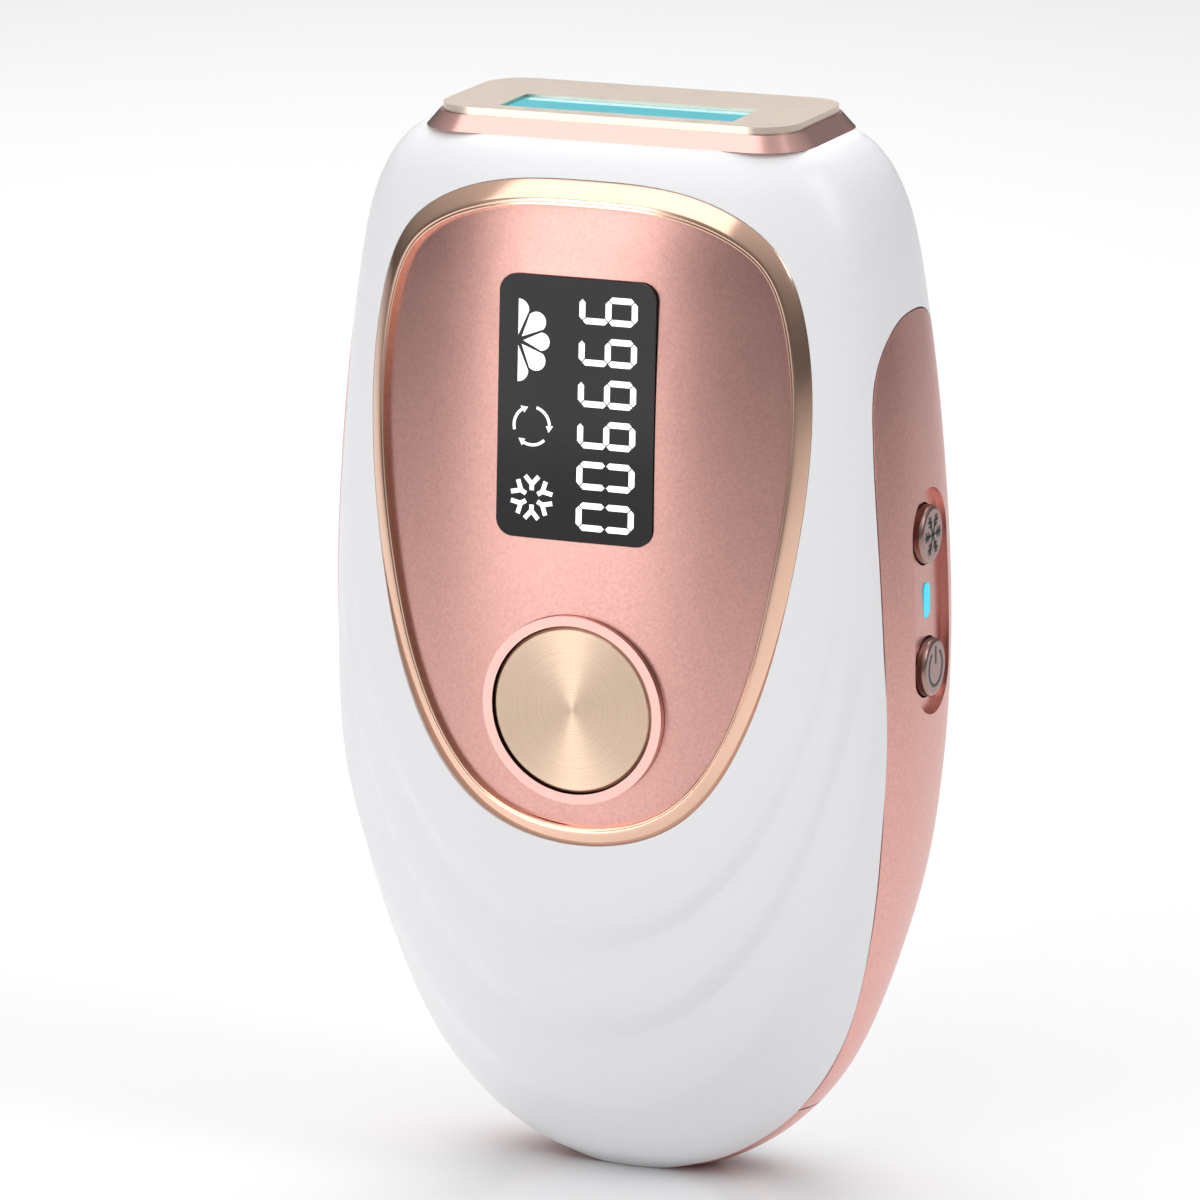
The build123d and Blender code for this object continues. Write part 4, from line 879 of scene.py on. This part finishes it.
def make_finishes():
    """One finish for each material slot of the record."""
    return {
        "white_gloss_plastic": white_shell(),
        "rose_gold_coat": coated_metal("rose_gold_coat", (0.71, 0.39, 0.345), 0.32),
        "rose_gold_polished": polished_metal("rose_gold_polished", (0.70, 0.42, 0.375), 0.22),
        "champagne_plated_trim": polished_metal("champagne_plated_trim", (0.86, 0.56, 0.42), 0.14),
        "champagne_satin_plate": brushed("champagne_satin_plate", (0.84, 0.71, 0.60), 0.30, (1, 30, 30)),
        "champagne_spun_disc": spun_metal(),
        "button_rose_metal": coated_metal("button_rose_metal", (0.36, 0.235, 0.21), 0.30),
        "window_crystal": clear("window_crystal", (0.12, 0.80, 0.92), 0.05, 0.25),
        "black_lens": black_glass(),
        "indicator_cyan": lit("indicator_cyan", (0.0, 0.42, 0.58), 0.85),
        "clear_glass": clear("clear_glass", (0.95, 0.97, 0.98)),
        "amber_filter_glass": clear("amber_filter_glass", (0.05, 0.70, 0.85), 0.05, 0.4),
        "bright_reflector": polished_metal("bright_reflector", (0.9, 0.9, 0.92), 0.12),
        "aluminium": brushed("aluminium", (0.75, 0.76, 0.78), 0.35, (30, 30, 1)),
        "steel": brushed("steel", (0.62, 0.63, 0.65), 0.3, (1, 20, 1)),
        "tungsten": brushed("tungsten", (0.45, 0.45, 0.47), 0.35, (1, 20, 20)),
        "copper_winding": wound_wire("copper_winding", (0.72, 0.36, 0.18)),
        "brass_contact": brushed("brass_contact", (0.85, 0.66, 0.33), 0.28, (20, 20, 1)),
        "black_plastic": moulded("black_plastic", (0.02, 0.02, 0.022), 0.45),
        "grey_plastic": moulded("grey_plastic", (0.16, 0.17, 0.18), 0.5),
        "cream_heatproof_plastic": moulded("cream_heatproof_plastic", (0.66, 0.62, 0.52), 0.5),
        "white_connector_plastic": moulded("white_connector_plastic", (0.75, 0.75, 0.71), 0.45),
        "ceramic_white": moulded("ceramic_white", (0.85, 0.84, 0.80), 0.55),
        "board_green": board_finish(),
        "foam_black": moulded("foam_black", (0.02, 0.02, 0.02), 0.9, 500.0, 0.00008),
        "capacitor_sleeve": moulded("capacitor_sleeve", (0.02, 0.025, 0.06), 0.3),
        "ferrite": moulded("ferrite", (0.04, 0.04, 0.045), 0.7, 500.0, 0.00004),
        "wire_red": moulded("wire_red", (0.45, 0.02, 0.015), 0.4),
        "wire_black": moulded("wire_black", (0.015, 0.015, 0.015), 0.4),
        "ribbon_white": moulded("ribbon_white", (0.74, 0.74, 0.71), 0.4),
    }


def paint(piece, finish):
    """Gives a piece its only material."""
    piece.data.materials.clear()
    piece.data.materials.append(finish.material)


def soften(node, width, segments):
    """Small rounded edges on a CAD part."""
    modifier = NODES[node].modifiers.new("edges", "BEVEL")
    modifier.width = width * MM
    modifier.segments = segments
    modifier.limit_method = "ANGLE"
    modifier.angle_limit = math.radians(EDGE_ANGLE)
    modifier.harden_normals = False


# ------------------------------------------------------------------- stage
def area_light(name, place, target, size, power):
    """Rectangular soft light aimed at a point; metres and watts."""
    data = bpy.data.lights.new(name, "AREA")
    data.shape = "RECTANGLE"
    data.size, data.size_y = size
    data.energy = power
    light = bpy.data.objects.new(name, data)
    light.location = place
    light.rotation_euler = (Vector(target) - Vector(place)).to_track_quat("-Z", "Y").to_euler()
    bpy.context.scene.collection.objects.link(light)


def studio():
    """Large soft lights, and a sky that brightens from the horizon up."""
    for light in LIGHTS:
        area_light(*light)
    world = bpy.context.scene.world or bpy.data.worlds.new("World")
    bpy.context.scene.world = world
    world.use_nodes = True
    tree = world.node_tree
    place = tree.nodes.new("ShaderNodeTexCoord")
    split = tree.nodes.new("ShaderNodeSeparateXYZ")
    ramp = tree.nodes.new("ShaderNodeValToRGB")
    tree.links.new(place.outputs["Generated"], split.inputs["Vector"])
    tree.links.new(split.outputs["Z"], ramp.inputs["Fac"])
    for stop, color in zip(ramp.color_ramp.elements, (HORIZON_COLOR, ZENITH_COLOR)):
        stop.color = (*color, 1)
    tree.links.new(ramp.outputs["Color"], tree.nodes["Background"].inputs["Color"])


def floor():
    """Pale glossy floor."""
    half = FLOOR_HALF
    piece = make_object("floor", [(-half, -half, 0), (half, -half, 0), (half, half, 0), (-half, half, 0)],
                        [(0, 1, 2, 3)])
    finish = Finish("floor_white", FLOOR_COLOR, FLOOR_ROUGHNESS[0])
    finish.vary_roughness(finish.noise(3.0), *FLOOR_ROUGHNESS)
    paint(piece, finish)


def camera():
    """Camera at the front right, slightly above, with a long lens."""
    turn, rise = CAMERA_TURN, CAMERA_RISE
    back = Vector((math.sin(turn) * math.cos(rise), -math.cos(turn) * math.cos(rise), math.sin(rise)))
    right = Vector((math.cos(turn), math.sin(turn), 0))
    aim = Vector((0, 0, CAMERA_AIM_HEIGHT)) + right * CAMERA_AIM_RIGHT
    data = bpy.data.cameras.new("camera")
    data.lens = CAMERA_LENS
    data.sensor_width = SENSOR_WIDTH
    data.clip_end = CAMERA_REACH
    made = bpy.data.objects.new("camera", data)
    made.location = aim + back * CAMERA_DISTANCE
    facing = (-back).to_track_quat("-Z", "Y")
    made.rotation_euler = (facing.to_matrix() @ Matrix.Rotation(CAMERA_ROLL, 3, "Z")).to_euler()
    bpy.context.scene.collection.objects.link(made)
    bpy.context.scene.camera = made


# -------------------------------------------------------------------- build
camera()
studio()
floor()
FINISHES = make_finishes()
slots = {row["node"]: row["material_slot"] for row in frame["record"]["subparts"]}
for name, node in NODES.items():
    paint(node, FINISHES[slots[name]])

paint(front_shell(), FINISHES["white_gloss_plastic"])
paint(panel_trim(), FINISHES["champagne_plated_trim"])
paint(display_symbols(), lit("display_white", (0.95, 0.93, 0.93), 0.75))
for icon in button_icons():
    paint(icon, FINISHES["black_plastic"])
for node, width, segments in SOFT_EDGES:
    soften(node, width, segments)

bpy.context.scene.view_settings.view_transform = "Standard"
